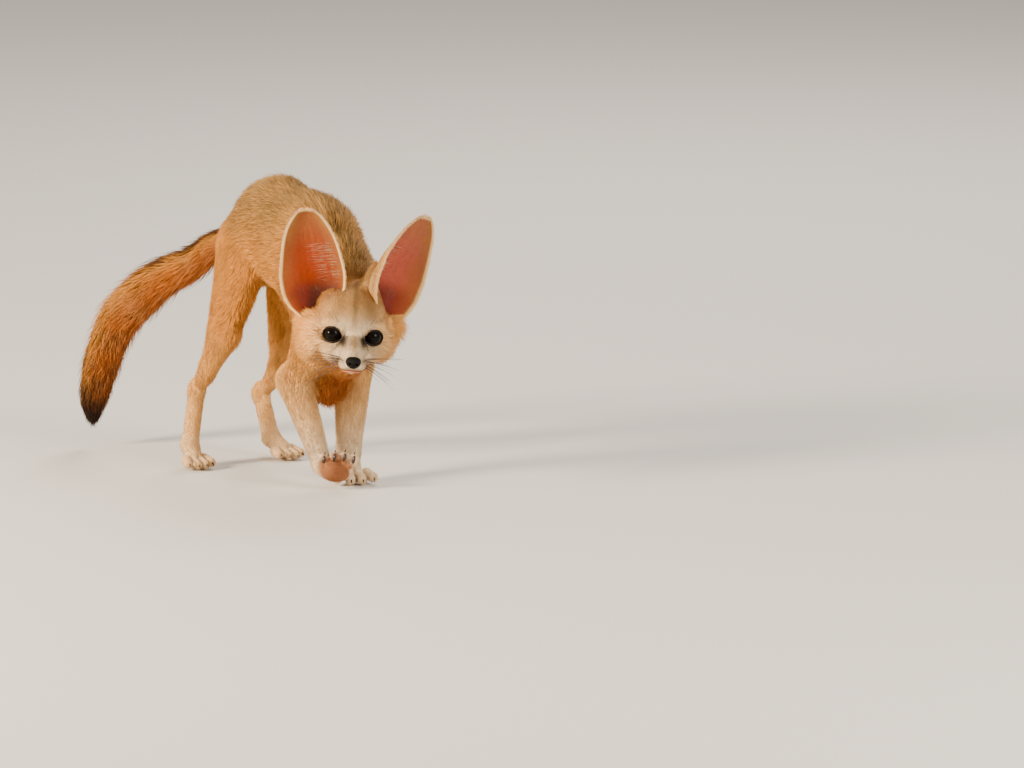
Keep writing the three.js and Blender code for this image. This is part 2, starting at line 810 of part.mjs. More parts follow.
function makeHind(side) {
  const name = `hind${side}`;
  const [leg, cut, paw] = [LEGS[name], CUTS[name], PAWS[name]];
  const [hip, knee, hock, heel] = joints(side, ['hip', 'knee', 'hock', 'heel']);
  const kneeCut = across(mix(knee, hock, 0.16), add(unit(sub(hock, knee)), [0, 0, -0.9]));
  const hockCut = across(mix(hock, heel, 0.12), sub(heel, hock));
  const thighBox = boxAround(add(hip, [0, 8, -14]), knee, 50, [8.6, 8.6, 11], 30);
  const shankBox = boxAround(knee, hock, 48, [6.6, 6.6, [11, 7]], 34);
  const footBox = {
    centre: add(mix(hock, paw.ball, 0.5), [0, -6, 0]),
    axes: pawAxes(paw),
    half: [20, 44, 44],
    cell: [3.5, 5.4, [3.8, 10]],
  };
  const thigh = meshField(fieldOf([...trunk, ...leg.thigh, ...leg.shank]), thighBox);
  const shank = meshField(fieldOf([...leg.thigh, ...leg.shank, ...leg.foot]), shankBox);
  const foot = meshField(fieldOf([...leg.shank, ...leg.foot, ...toes(paw)]), footBox).add(claws(paw, UP));
  return [
    mainPiece(takeFar(keepFar(thigh, cut), kneeCut)),
    mainPiece(takeFar(keepFar(shank, kneeCut), hockCut)),
    mainPiece(keepFar(keepFar(foot, hockCut), floorCut)),
  ];
}

// What differs between the raised fore paw and the one on the floor
function pawForms(side) {
  const [wrist, palm] = joints(side, ['wrist', 'palm']);
  const { ball, forward, side: breadth } = PAWS[`fore${side}`];
  if (side === 'Left') {
    return {
      palm: bone(wrist, ball, 10.4, 9, 5),
      pads: [],
      up: UP,
      shift: [-3, -6, 2],
      half: [30, 32, 26],
      cell: [3.4, 4.6, [3.8, 7]],
    };
  }
  return {
    palm: bone(wrist, palm, 9, 9.2, 5),
    pads: [egg(palm, [14.5, 7.5, 9.5], 4, [breadth, cross(breadth, forward), forward])],
    up: unit([0.45, 0.85, 0.1]),
    shift: [-1, -4, 6],
    half: [30, 24, 27],
    cell: [3.4, 4.6, 4],
  };
}

function makeFore(side) {
  const name = `fore${side}`;
  const [leg, cut, paw] = [LEGS[name], CUTS[name], PAWS[name]];
  const [shoulder, elbow, wrist] = joints(side, ['shoulder', 'elbow', 'wrist']);
  const { palm, pads, up, shift, half, cell } = pawForms(side);
  const elbowCut = across(mix(elbow, wrist, 0.08), sub(wrist, elbow));
  const wristCut = across(mix(wrist, elbow, 0.08), sub(wrist, elbow));
  const upperBox = boxAround(add(shoulder, [0, 6, 8]), elbow, 44, [8.4, 8.4, 10], 26);
  const lowerBox = boxAround(elbow, wrist, 30, [6.6, 6.6, 11], 22);
  const footBox = { centre: add(mix(wrist, paw.ball, 0.5), shift), axes: pawAxes(paw), half, cell };
  const upper = meshField(fieldOf([...trunk, ...neck, ...leg.shoulder, ...leg.forearm]), upperBox);
  const lower = meshField(fieldOf([...leg.shoulder, ...leg.forearm, palm]), lowerBox);
  const foot = meshField(fieldOf([...leg.forearm, palm, ...pads, ...toes(paw)]), footBox).add(claws(paw, up));
  return [
    mainPiece(takeFar(takeFar(keepFar(upper, cut), elbowCut), CUTS.head)),
    mainPiece(takeFar(keepFar(keepFar(lower, cut), elbowCut), wristCut)),
    mainPiece(keepFar(keepFar(foot, wristCut), floorCut)),
  ];
}

// Ears: a thick leaf, deep and curled at the root, flat at the tip

const EAR_ROWS = [-0.14, 0, 0.1, 0.2, 0.32, 0.46, 0.6, 0.72, 0.82, 0.9, 0.96, 1];
const EAR_COLUMNS = 10;
const EAR_WIDTH_AT = [-0.14, 0, 0.13, 0.28, 0.45, 0.65, 0.81, 0.92, 0.975, 1];
const EAR_DEPTH_AT = [-0.14, 0, 0.17, 0.4, 0.64, 0.82, 1];
const EAR_OUTER = [12, 22, 26, 27, 25, 21.5, 16.5, 10, 5.5, 2];
const earOuter = (t) => curve(t, EAR_WIDTH_AT, EAR_OUTER);
const earInner = (t, ear) => curve(t, EAR_WIDTH_AT, ear.inner);
const earDepth = (t, ear) => curve(t, EAR_DEPTH_AT, ear.depth);
const earThickness = (t, a) => EAR_THICK * curve(t, [0, 0.4, 1], [1.3, 1, 0.7]) * (1 - 0.45 * a ** 3);

function earLeaf(ear, grow = 0) {
  const { base, reach, along, outward, facing } = earAxes(ear);
  const middle = EAR_ROWS.map((t) => {
    const row = [];
    for (let n = 0; n <= EAR_COLUMNS; n += 1) {
      const a = (2 * n) / EAR_COLUMNS - 1;
      const x = a < 0 ? a * earInner(t, ear) : a * earOuter(t);
      const z = earDepth(t, ear) * (Math.abs(a) ** 2.6 - 1);
      row.push(sum(base, [along, outward, facing], [reach * t, x, z]));
    }
    return row;
  });
  return thickSheet(middle, (r, n) => grow + earThickness(EAR_ROWS[r], Math.abs((2 * n) / EAR_COLUMNS - 1)));
}

// A grid of points given a thickness, closed all round
function thickSheet(grid, thickness) {
  const rows = grid.length;
  const columns = grid[0].length;
  const front = [];
  const back = [];
  for (let r = 0; r < rows; r += 1) {
    for (let n = 0; n < columns; n += 1) {
      const du = sub(grid[Math.min(r + 1, rows - 1)][n], grid[Math.max(r - 1, 0)][n]);
      const dv = sub(grid[r][Math.min(n + 1, columns - 1)], grid[r][Math.max(n - 1, 0)]);
      const normal = unit(cross(du, dv));
      const half = thickness(r, n) / 2;
      front.push(sum(grid[r][n], [normal], [half]));
      back.push(sum(grid[r][n], [normal], [-half]));
    }
  }
  const points = [...front, ...back];
  const shift = rows * columns;
  const faces = [];
  const quad = (a, b, c, d) => faces.push(a, b, c, a, c, d);
  for (let r = 0; r + 1 < rows; r += 1) {
    for (let n = 0; n + 1 < columns; n += 1) {
      const a = r * columns + n;
      quad(a, a + 1, a + 1 + columns, a + columns);
      quad(shift + a, shift + a + columns, shift + a + 1 + columns, shift + a + 1);
    }
  }
  for (let r = 0; r + 1 < rows; r += 1) {
    const a = r * columns;
    const b = a + columns - 1;
    quad(a, a + columns, shift + a + columns, shift + a);
    quad(b + columns, b, shift + b, shift + b + columns);
  }
  for (let n = 0; n + 1 < columns; n += 1) {
    const b = (rows - 1) * columns + n;
    quad(n + 1, n, shift + n, shift + n + 1);
    quad(b, b + 1, shift + b + 1, shift + b);
  }
  return solidEitherWay(points, faces);
}

// Face

function eyeCentre(m) {
  return inHead(EYE_FORWARD, m * EYE_APART, 0);
}
const eyeAim = (m) => unit(turnedByHead(0.93, m * 0.34, 0.06));

function lid(m) {
  const aim = eyeAim(m);
  const [u, v, w] = axesAlong(aim, HEAD_AXES[1]);
  const centre = sum(eyeCentre(m), [w], [3.9]);
  const rings = 16;
  const points = [];
  const faces = [];
  for (let n = 0; n < rings; n += 1) {
    const angle = (n / rings) * 2 * Math.PI;
    const out = sum([0, 0, 0], [u, v], [Math.cos(angle) * LID_WIDE, Math.sin(angle) * LID_TALL]);
    const away = unit(out);
    for (let k = 0; k < 4; k += 1) {
      const turn = (k / 4) * 2 * Math.PI;
      const lift = [(1 + Math.cos(turn)) * LID_THICK, Math.sin(turn) * LID_THICK * 1.2];
      points.push(sum(add(centre, out), [away, w], lift));
      const [a, b] = [n * 4 + k, n * 4 + ((k + 1) % 4)];
      const [c, d] = [(a + 4) % (rings * 4), (b + 4) % (rings * 4)];
      faces.push(a, c, b, b, c, d);
    }
  }
  return solidEitherWay(points, faces);
}

// The gap between the lids, wider outwards
function eyeOpening(m) {
  const [u, v, w] = axesAlong(eyeAim(m), HEAD_AXES[1]);
  const ring = (far, grow) => {
    const points = [];
    for (let n = 0; n < 16; n += 1) {
      const angle = (n / 16) * 2 * Math.PI;
      const spread = [Math.cos(angle) * LID_WIDE * grow, Math.sin(angle) * LID_TALL * grow, far];
      points.push(sum(eyeCentre(m), [u, v, w], spread));
    }
    return points;
  };
  return tube([ring(0, 1), ring(5, 1.06), ring(14, 1.5)]);
}

// The line of the mouth, a narrow wedge that runs round the muzzle
function mouthLine() {
  const half = [[17, 13.5, -21], [26, 11.5, -23], [34, 7, -22.8]];
  const path = [...half.map(([f, l, u]) => [f, -l, u]), [38, 0, -22], ...half.reverse()];
  const heart = [20, 0, -22];
  const rings = path.map((p) => {
    const out = unit([p[0] - heart[0], p[1], 0]);
    const at = (far, up) => inHead(p[0] + out[0] * far, p[1] + out[1] * far, p[2] + up);
    return [at(4, 0.9), at(4, -0.9), at(-4, 0)];
  });
  return outwards(rings);
}

const NOSE_PLANE = across(inHead(39.2, 0, -14), HEAD_AXES[0]);

function makeNose() {
  const pad = fieldOf([
    egg(inHead(40.6, 0, -14.2), [4.6, 6.1, 5], 1, HEAD_AXES),
    bone(inHead(38, -3.4, -12.6), inHead(38, 3.4, -12.6), 3.2, 3.2, 2),
  ]);
  const box = { centre: inHead(40, 0, -14.7), axes: HEAD_AXES, half: [9, 10, 9], cell: [2.1, 2.1, 2.1] };
  let solid = meshField(pad, box);
  solid = keepFar(solid, NOSE_PLANE);
  for (const m of [-1, 1]) {
    const nostril = spike(inHead(41.5, m * 2.2, -14.8), inHead(49, m * 5.4, -14.2), 1.1, HEAD_AXES[2]);
    solid = solid.subtract(nostril);
  }
  return mainPiece(solid);
}

function makeHead() {
  const forms = [...skull, ...neck, ...LEGS.foreRight.shoulder, ...LEGS.foreLeft.shoulder, ...earBowls];
  let solid = meshField(fieldOf(forms), {
    centre: inHead(-8, 0, 2),
    axes: HEAD_AXES,
    half: [54, 62, 50],
    cell: [[7.4, 3.8], 4.9, 4.9],
  });
  solid = keepFar(keepFar(solid, CUTS.head), CUTS.neck);
  solid = solid.add(earLeaf(EARS.right)).add(earLeaf(EARS.left));
  for (const m of [-1, 1]) {
    const socket = ball(eyeCentre(m), EYE_RADIUS + GAP, 13, 9);
    solid = solid.subtract(eyeOpening(m)).add(lid(m)).subtract(socket);
  }
  solid = takeFar(solid, NOSE_PLANE).subtract(mouthLine());
  const earCut = (ear) => ({
    point: inHead(-22, ear.outward * 34, 31),
    direction: turnedByHead(-0.1, ear.outward * 0.5, 0.86),
    reach: [140, 92, 140],
  });
  const [right, left] = [earCut(EARS.right), earCut(EARS.left)];
  return [
    mainPiece(takeFar(takeFar(solid, right), left)),
    mainPiece(keepFar(solid, right)),
    mainPiece(keepFar(solid, left)),
  ];
}

// Assembly

const MATERIALS = {
  coat: { color: 0xd9b182, roughness: 0.95 },
  coat_pale: { color: 0xe6d0b0, roughness: 0.95 },
  coat_back: { color: 0xbd9a72, roughness: 0.95 },
  tail_orange: { color: 0xb9763c, roughness: 0.95 },
  tail_dark: { color: 0x3a2618, roughness: 0.95 },
  ear_skin: { color: 0xd8946f, roughness: 0.85 },
  eye_black: { color: 0x0c0908, roughness: 0.08 },
  nose_black: { color: 0x15100f, roughness: 0.4 },
};

const group = new THREE.Group();

function place(name, solid, look) {
  const mesh = solid.getMesh();
  const geometry = new THREE.BufferGeometry();
  const stride = mesh.numProp;
  const points = [];
  for (let n = 0; n < mesh.vertProperties.length; n += stride) {
    points.push(...add([...mesh.vertProperties.slice(n, n + 3)], ORIGIN));
  }
  geometry.setAttribute('position', new THREE.Float32BufferAttribute(points, 3));
  geometry.setIndex([...mesh.triVerts]);
  geometry.computeVertexNormals();
  const material = new THREE.MeshStandardMaterial({ ...MATERIALS[look], metalness: 0 });
  const part = new THREE.Mesh(geometry, material);
  part.name = name;
  group.add(part);
}

place('torso', makeTorso(), 'coat_back');
place('neck', makeNeck(), 'coat');

const [head, earRight, earLeft] = makeHead();
place('head', head, 'coat_pale');
place('ear_right', earRight, 'ear_skin');
place('ear_left', earLeft, 'ear_skin');
place('eye_right', ball(eyeCentre(-1), EYE_RADIUS, 13, 9), 'eye_black');
place('eye_left', ball(eyeCentre(1), EYE_RADIUS, 13, 9), 'eye_black');
place('nose', makeNose(), 'nose_black');

for (const side of ['Right', 'Left']) {
  const name = side.toLowerCase();
  const [thigh, shank, hindFoot] = makeHind(side);
  const [upperArm, forearm, forePaw] = makeFore(side);
  place(`thigh_${name}`, thigh, 'coat');
  place(`shank_${name}`, shank, 'coat_pale');
  place(`hind_foot_${name}`, hindFoot, 'coat_pale');
  place(`upper_arm_${name}`, upperArm, 'coat');
  place(`forearm_${name}`, forearm, 'coat_pale');
  place(`fore_paw_${name}`, forePaw, 'coat_pale');
}

const tail = makeTail();
place('tail_root', tail[0], 'tail_orange');
place('tail_middle', tail[1], 'tail_orange');
place('tail_tip', tail[2], 'tail_dark');

export default group;
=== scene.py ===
"""A fennec fox at life size: one skin under a coat of tufts, with ears, eyes, nose, claws and whiskers."""

import math

import bpy
import numpy as np
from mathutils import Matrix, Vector


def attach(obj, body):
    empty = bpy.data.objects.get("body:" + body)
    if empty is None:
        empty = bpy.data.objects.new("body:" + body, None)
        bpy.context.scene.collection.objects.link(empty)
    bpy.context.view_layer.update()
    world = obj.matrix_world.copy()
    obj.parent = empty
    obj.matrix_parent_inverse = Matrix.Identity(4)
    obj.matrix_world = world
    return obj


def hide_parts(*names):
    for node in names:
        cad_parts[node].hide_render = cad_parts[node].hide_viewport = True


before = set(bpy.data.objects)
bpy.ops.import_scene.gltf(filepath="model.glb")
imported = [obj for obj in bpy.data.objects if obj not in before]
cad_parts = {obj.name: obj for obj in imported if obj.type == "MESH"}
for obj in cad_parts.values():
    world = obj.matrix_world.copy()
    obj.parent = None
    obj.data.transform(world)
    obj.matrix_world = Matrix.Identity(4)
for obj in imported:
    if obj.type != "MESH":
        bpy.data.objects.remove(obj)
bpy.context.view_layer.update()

# Lengths are millimetres in the fox's own axes, as in the part's source: it faces -Y, its left is +X.
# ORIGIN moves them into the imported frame.
ORIGIN = np.array([20.5, -24.8, -0.7])
MM = 0.001

draw = np.random.default_rng(11)

SIDE, UP = np.eye(3)[[0, 2]]
FLOOR_GAP = 0.9


def unit(v):
    v = np.asarray(v, float)
    return v / np.linalg.norm(v)


def units(v):
    return v / np.maximum(np.linalg.norm(v, axis=-1, keepdims=True), 1e-9)


def mix(a, b, t):
    return np.asarray(a, float) * (1 - t) + np.asarray(b, float) * t


def smooth(x, lo, hi):
    t = np.clip((np.asarray(x, float) - lo) / (hi - lo), 0, 1)
    return t * t * (3 - 2 * t)


def off(v, w):
    """The part of vectors v that lies across unit directions w."""
    return v - w * (v * w).sum(-1, keepdims=True)


def hill(x, middle, width, power=2):
    """1 at the middle, fading to 0 past the width."""
    return np.exp(-(((x - middle) / width) ** power))


def axes_along(direction, hint=SIDE):
    w = unit(direction)
    u = unit(hint - w * np.dot(hint, w))
    return u, np.cross(w, u), w


def srgb(code):
    """Linear colour of a hex code."""
    c = np.array([int(code[i : i + 2], 16) for i in (0, 2, 4)]) / 255
    return np.where(c <= 0.04045, c / 12.92, ((c + 0.055) / 1.055) ** 2.4)


# The head's own axes: forward, towards its left, up

HEAD_PLACE = np.array([-18.4, -127.4, 139.3])
HEAD_TURN = (28, 4, 5.5)


def head_axes():
    yaw, pitch, roll = np.radians(HEAD_TURN)
    forward = np.array([-np.sin(yaw) * np.cos(pitch), -np.cos(yaw) * np.cos(pitch), -np.sin(pitch)])
    level = np.array([np.cos(yaw), -np.sin(yaw), 0])
    left = level * np.cos(roll) - np.cross(forward, level) * np.sin(roll)
    return np.array([forward, left, np.cross(forward, left)])


HEAD_AXES = head_axes()
FORWARD, LEFT, TOP = HEAD_AXES


def in_head(f, l, u):
    return HEAD_PLACE + np.array([f, l, u], float) @ HEAD_AXES


def turned(f, l, u):
    return np.array([f, l, u], float) @ HEAD_AXES


def from_head(p):
    """Places in the head's own axes."""
    return ((p - HEAD_PLACE) @ HEAD_AXES.T).T


# Figure

JOINTS = {
    "hip_right": [-22, 46, 192], "knee_right": [-53, 32, 120], "hock_right": [-57, 76, 67],
    "heel_right": [-66, 73, 20], "ball_right": [-65.5, 65, 8.6],
    "hip_left": [22, 45, 190], "knee_left": [30, 40, 112], "hock_left": [21, 100, 54],
    "heel_left": [20, 81, 18], "ball_left": [24, 66, 8.6],
    "blade_right": [-16, -34, 205], "shoulder_right": [-23, -75, 133], "elbow_right": [-28, -44, 90],
    "wrist_right": [-24.8, -84, 24], "palm_right": [-18.5, -94, 19],
    "blade_left": [22, -34, 205], "shoulder_left": [28, -74, 134], "elbow_left": [32, -42, 97],
    "wrist_left": [16, -61, 30], "palm_left": [13, -72.5, 8.8],
}
J = {name: np.array(place, float) for name, place in JOINTS.items()}

TAIL_PATH = [
    [-1, 84, 200], [-18, 112, 187], [-31, 128, 171], [-50, 152, 155], [-61, 167, 140], [-72, 181, 122],
    [-80, 191, 99], [-85, 198, 76], [-88, 202, 56], [-90, 204, 40], [-90, 205, 27],
]
TAIL_RADIUS = [11.5, 12.5, 15.5, 19, 20.4, 20, 18, 17, 14.5, 11.5, 4]
TAIL_BONE = 5
TAIL_STEPS = 60
TAIL_UPPER = np.array([-0.15, 0.8, 0.6])


def centripetal(points, steps):
    """Catmull-Rom curve with centripetal spacing through points."""
    p = np.asarray(points, float)
    p = np.vstack([2 * p[0] - p[1], p, 2 * p[-1] - p[-2]])
    out = []
    for n in range(steps + 1):
        place = min(n / steps * (len(points) - 1), len(points) - 1 - 1e-9)
        i = int(place)
        q = p[i : i + 4]
        t = np.concatenate([[0], np.cumsum(np.linalg.norm(np.diff(q, axis=0), axis=1) ** 0.5)])
        x = t[1] + (place - i) * (t[2] - t[1])
        for gap in (1, 2, 1):
            first = 1 if len(q) == 2 else 0
            low, high = t[first : first + len(q) - 1], t[first + gap : first + gap + len(q) - 1]
            share = ((x - low) / (high - low))[:, None]
            q = q[:-1] * (1 - share) + q[1:] * share
        out.append(q[0])
    return np.array(out)


tail_line = centripetal(TAIL_PATH, TAIL_STEPS)
tail_knots = np.linspace(0, len(TAIL_PATH) - 1, TAIL_STEPS + 1)
tail_radius = np.interp(tail_knots, range(len(TAIL_PATH)), TAIL_RADIUS)
tail_core = np.minimum(tail_radius, TAIL_BONE) + np.maximum(0, tail_radius - TAIL_BONE) * 0.5
tail_core[:7] = mix(tail_radius[:7] - 4, tail_core[:7], np.linspace(0, 1, 7))


# Coat of each region: depth under the outline, length, breadth, lift in degrees,
# then bent tufts and straight hairs per square millimetre

COATS = {
    "trunk": (4.6, 15, 0.66, 26, 0.8, 1.25),
    "neck": (4.4, 13, 0.62, 23, 0.8, 1.25),
    "throat": (4.0, 14, 0.62, 24, 0.8, 1.25),
    "skull": (2.0, 5.0, 0.44, 13, 0, 3.2),
    "cheek": (2.4, 8.0, 0.45, 15, 0.2, 2.8),
    "ruff": (3.0, 13, 0.55, 20, 0.8, 1.6),
    "muzzle": (1.3, 2.8, 0.32, 8, 0, 5.0),
    "thigh": (3.4, 11, 0.6, 16, 0.56, 0.8),
    "shank": (1.8, 7, 0.55, 13, 0, 1.25),
    "arm": (3, 10, 0.6, 17, 0.56, 0.8),
    "forearm": (1.9, 7.5, 0.55, 14, 0, 1.25),
    "foot": (1.3, 4.4, 0.48, 11, 0, 1.6),
    "toe": (1.0, 3.2, 0.42, 10, 0, 2.2),
    "tail": (0, 8, 0.8, 20, 0, 0.3),
}

FAMILIES = {
    "body": ("trunk", "neck", "throat"), "leg": ("thigh", "shank", "arm", "forearm", "foot", "toe"),
    "head": ("skull", "cheek", "ruff", "muzzle"), "tail": ("tail",),
}
FAMILY_OF = {region: family for family, regions in FAMILIES.items() for region in regions}

# Colours by name, as they show in soft daylight

GRIZZLE = srgb("b98c50")
SAND = srgb("e39a44")
SAND_PALE = srgb("f2b05c")
CREAM = srgb("fbca86")
WHITE_FUR = srgb("f9dcb4")
RUST = srgb("a3561f")
RUST_DEEP = srgb("7d3d16")
ORANGE = srgb("c26c22")
GOLD = srgb("d4923c")
BROWN_DARK = srgb("3b2416")
BLACK_FUR = srgb("1d130d")
BUFF = srgb("c0935c")
# Ear pink is the lit ear's skin and the ear rose its shaded copy; the ear glow is painted light through the
# ear; the deep ear colour serves for painted shade and for the veins.
EAR_PINK = srgb("863b1c")
EAR_ROSE_SHADED = srgb("984a3b")
EAR_MARGIN = srgb("98622f")
EAR_GLOW = srgb("9c3407")
EAR_DEEP = srgb("461f17")


class Form:
    """A rounded form with the coat that grows on it."""

    def __init__(self, lo, hi, blend, distance, region, flow, hollow=False):
        self.lo, self.hi, self.blend = np.asarray(lo, float), np.asarray(hi, float), blend
        self.distance, self.region, self.hollow = distance, region, hollow
        self.flow = None if flow is None else unit(flow)
        self.coat = 0.0 if hollow else COATS[region][0]


def bone(a, b, radius_a, radius_b, blend, region, press=1.0, flow=None):
    a, b = np.asarray(a, float), np.asarray(b, float)
    along = b - a
    length2 = along @ along
    flat = unit(SIDE - along * (SIDE @ along) / length2)
    reach = max(radius_a, radius_b)

    def distance(p):
        q = p - a
        if press != 1:
            q = q + (q @ flat * (1 / press - 1))[:, None] * flat
        t = np.clip(q @ along / length2, 0, 1)
        away = np.linalg.norm(q - t[:, None] * along, axis=1)
        return (away - radius_a - (radius_b - radius_a) * t) * min(1, press)

    lo, hi = np.minimum(a, b) - reach, np.maximum(a, b) + reach
    return Form(lo, hi, blend, distance, region, along if flow is None else flow)


def egg(centre, radii, blend, region, flow, axes=np.eye(3), hollow=False):
    centre, radii, axes = np.asarray(centre, float), np.asarray(radii, float), np.asarray(axes)
    reach = radii.max()

    def distance(p):
        r = (p - centre) @ axes.T / radii
        far, steep = np.linalg.norm(r, axis=1), np.linalg.norm(r / radii, axis=1)
        return np.where(steep < 1e-9, -radii.min(), far * (far - 1) / np.maximum(steep, 1e-9))

    return Form(centre - reach, centre + reach, blend, distance, region, flow, hollow)


# Body

trunk = [
    egg([0, 52, 204], [33, 36, 38], 14, "trunk", [0, 0.75, -0.65]),
    egg([-1, 30, 208], [35, 39, 45], 14, "trunk", [0, 0.95, -0.35]),
    bone([0, 20, 209], [2, -20, 201], 46, 46, 16, "trunk", 0.8, [0, 1, 0]),
    bone([2, -20, 198], [5, -50, 164], 47, 43, 16, "trunk", 0.82, [0, 0.9, 0.3]),
    bone([5, -46, 172], [4, -70, 140], 38, 31, 14, "trunk", 0.9, [0, 0.85, -0.3]),
    egg([3, -56, 122], [25, 27, 30], 14, "throat", [0, 0.35, -0.95]),
    egg([1, -54, 97], [24, 17, 27], 14, "throat", [0, 0.3, -1]),
]
neck = [
    bone([4, -52, 176], in_head(-36, 0, 6), 32, 27, 16, "neck", flow=[0.15, 0.85, 0.35]),
    bone([3, -66, 142], in_head(-26, 0, -10), 28, 22, 16, "neck", flow=[0.1, 0.6, -0.6]),
    bone([1, -64, 114], in_head(-22, 0, -22), 22, 18, 12, "throat", flow=[0.05, 0.3, -1]),
]


def joints(side, *names):
    return [J[f"{name}_{side}"] for name in names]


def hind_leg(side):
    hip, knee, hock, heel, ball = joints(side, "hip", "knee", "hock", "heel", "ball")
    return [
        bone(hip, mix(knee, hip, 0.12), 33, 19, 12, "thigh", 0.68, [0, 0.5, -1]),
        bone(hip + [0, 16, 2], mix(knee, hock, 0.65), 24, 9, 12, "thigh", 0.72, [0, 0.35, -1]),
        bone(knee, hock, 15, 8, 8, "shank", 0.8, [0, 0.55, -1]),
        egg(hock + [0, 2, 2], [5.2, 7, 10], 7, "shank", [0, 0.2, -1]),
        bone(hock, heel, 8.2, 8.4, 5, "foot"),
        bone(heel, ball, 8.4, 8.6, 5, "foot", flow=[0, -0.6, -0.8]),
    ]


def fore_leg(side, at_elbow, at_wrist):
    blade, shoulder, elbow, wrist = joints(side, "blade", "shoulder", "elbow", "wrist")
    return [
        bone(blade, shoulder, 22, 24, 14, "arm", 0.6, [0, 0.45, -0.9]),
        bone(shoulder, elbow, 22, 16, 12, "arm", 0.78, [0, 0.4, -1]),
        bone(elbow, wrist, at_elbow, at_wrist, 8, "forearm"),
        egg(elbow + [0, 7, 2], [8, 9, 9], 6, "forearm", [0, 0.2, -1]),
    ]


PAWS = {
    "hind_right": dict(ball=J["ball_right"], forward=unit([-0.12, -1, -0.18]), side=unit([1, -0.12, 0]),
                       apart=6.4, radius=4.8, reach=15, up=UP),
    "hind_left": dict(ball=J["ball_left"], forward=unit([0.02, -1, -0.18]), side=SIDE,
                      apart=6.4, radius=4.8, reach=15, up=UP),
    "fore_left": dict(ball=J["palm_left"], forward=unit([-0.3, -0.95, -0.16]), side=unit([0.95, -0.3, 0]),
                      apart=9.4, radius=5.2, reach=15, up=UP),
    "fore_right": dict(ball=J["palm_right"] + [2.8, -1.6, 4], forward=unit([0.1, -0.26, 1]),
                       side=unit([0.866, -0.5, 0]), apart=7.6, radius=4.9, reach=7.5,
                       up=unit([0.45, 0.85, 0.1])),
}
TOE_ROW = [(-1.5, 0.72), (-0.5, 1), (0.5, 1), (1.5, 0.72)]
TOE_FAN = 1.12


def toe_tip(paw, place, far):
    return paw["ball"] + paw["side"] * place * paw["apart"] * TOE_FAN + paw["forward"] * paw["reach"] * far


def toes(paw):
    out = []
    for place, far in TOE_ROW:
        root = paw["ball"] + paw["side"] * place * paw["apart"] * 0.86
        tip = toe_tip(paw, place, far)
        out.append(bone(root, tip, paw["radius"] * 1.1, paw["radius"], 1.2, "toe"))
    return out


raised = PAWS["fore_right"]
legs = [
    *hind_leg("right"), *hind_leg("left"),
    *fore_leg("right", 16.5, 9.4), *fore_leg("left", 18.5, 12),
]
palms = [
    bone(J["wrist_right"], J["palm_right"], 9, 9.2, 5, "foot"),
    egg(J["palm_right"] + [-0.8, 0, -0.6], [15.5, 9, 10.5], 5, "toe", raised["forward"],
        [raised["side"], np.cross(raised["side"], raised["forward"]), raised["forward"]]),
    bone(J["wrist_left"], J["palm_left"], 10.4, 9, 5, "foot"),
]
paw_forms = [form for paw in PAWS.values() for form in toes(paw)]


def tail_forms():
    out = []
    for n in range(TAIL_STEPS):
        a, b = tail_line[n], tail_line[n + 1]
        out.append(bone(a, b, tail_core[n], max(tail_core[n + 1], 1.5), 3 if n > 8 else 8, "tail"))
    return out


# Head

def head_egg(place, radii, blend, region, lie, axes=HEAD_AXES, hollow=False):
    return egg(in_head(*place), radii, blend, region, None if lie is None else turned(*lie), axes, hollow)


def head_bone(start, end, radius_a, radius_b, blend, region, lie):
    return bone(in_head(*start), in_head(*end), radius_a, radius_b, blend, region, flow=turned(*lie))


skull = [
    head_egg((-26, 0, 11), [33, 30, 27.5], 10, "skull", (-1, 0, 0.15)),
    head_egg((-11, 0, 7), [20, 23, 20], 8, "skull", (-0.6, 0, 0.8)),
    head_bone((-10, 0, -7), (18, 0, -11.5), 19, 11.5, 8, "skull", (-0.9, 0, 0.4)),
    head_egg((-16, -26, -7), [17, 19, 18], 8, "ruff", (-0.8, -0.45, -0.45)),
    head_egg((-16, 19, -6), [17, 16, 18], 8, "ruff", (-0.8, 0.45, -0.45)),
    head_bone((-27, -38, 5), (-22, -32, -15), 9, 13, 10, "ruff", (-0.4, -0.45, -0.6)),
    head_bone((-27, 35.5, 7), (-22, 23.5, -13), 9, 12, 10, "ruff", (-0.4, 0.45, -0.6)),
]
for m in (-1, 1):
    skull += [
        head_egg((-5, m * 14.5, -14.5), [16, 12, 11], 6, "cheek", (-0.9, m * 0.35, -0.3)),
        head_egg((-4, m * 16, 9.5), [7, 10, 6], 5, "skull", (-0.5, m * 0.35, 0.75)),
    ]
skull += [
    head_bone((12, 0, -11.5), (37, 0, -15.2), 11, 6.4, 6, "muzzle", (-1, 0, 0.15)),
    head_bone((-6, 0, -20), (29, 0, -22.8), 12, 4.8, 5, "muzzle", (-1, 0, -0.2)),
]
skull += [head_egg((25, m * 6, -18.5), [13, 7, 6], 3, "muzzle", (-0.9, m * 0.4, -0.15)) for m in (-1, 1)]

EYE_RADIUS = 9
LID_WIDE, LID_TALL = 8.1, 6.1
LID_ROOM = 1.4


def eye_centre(m):
    return in_head(-3.6, m * 16.3, 0)


def eye_axes(m):
    return axes_along(turned(0.93, m * 0.34, 0.06), LEFT)


def eye_hollow(m):
    u, v, w = eye_axes(m)
    radii = [LID_WIDE + LID_ROOM, LID_TALL + LID_ROOM, 8.5]
    return egg(eye_centre(m) + w * 6.5, radii, 1.6, "skull", None, [u, v, w], True)


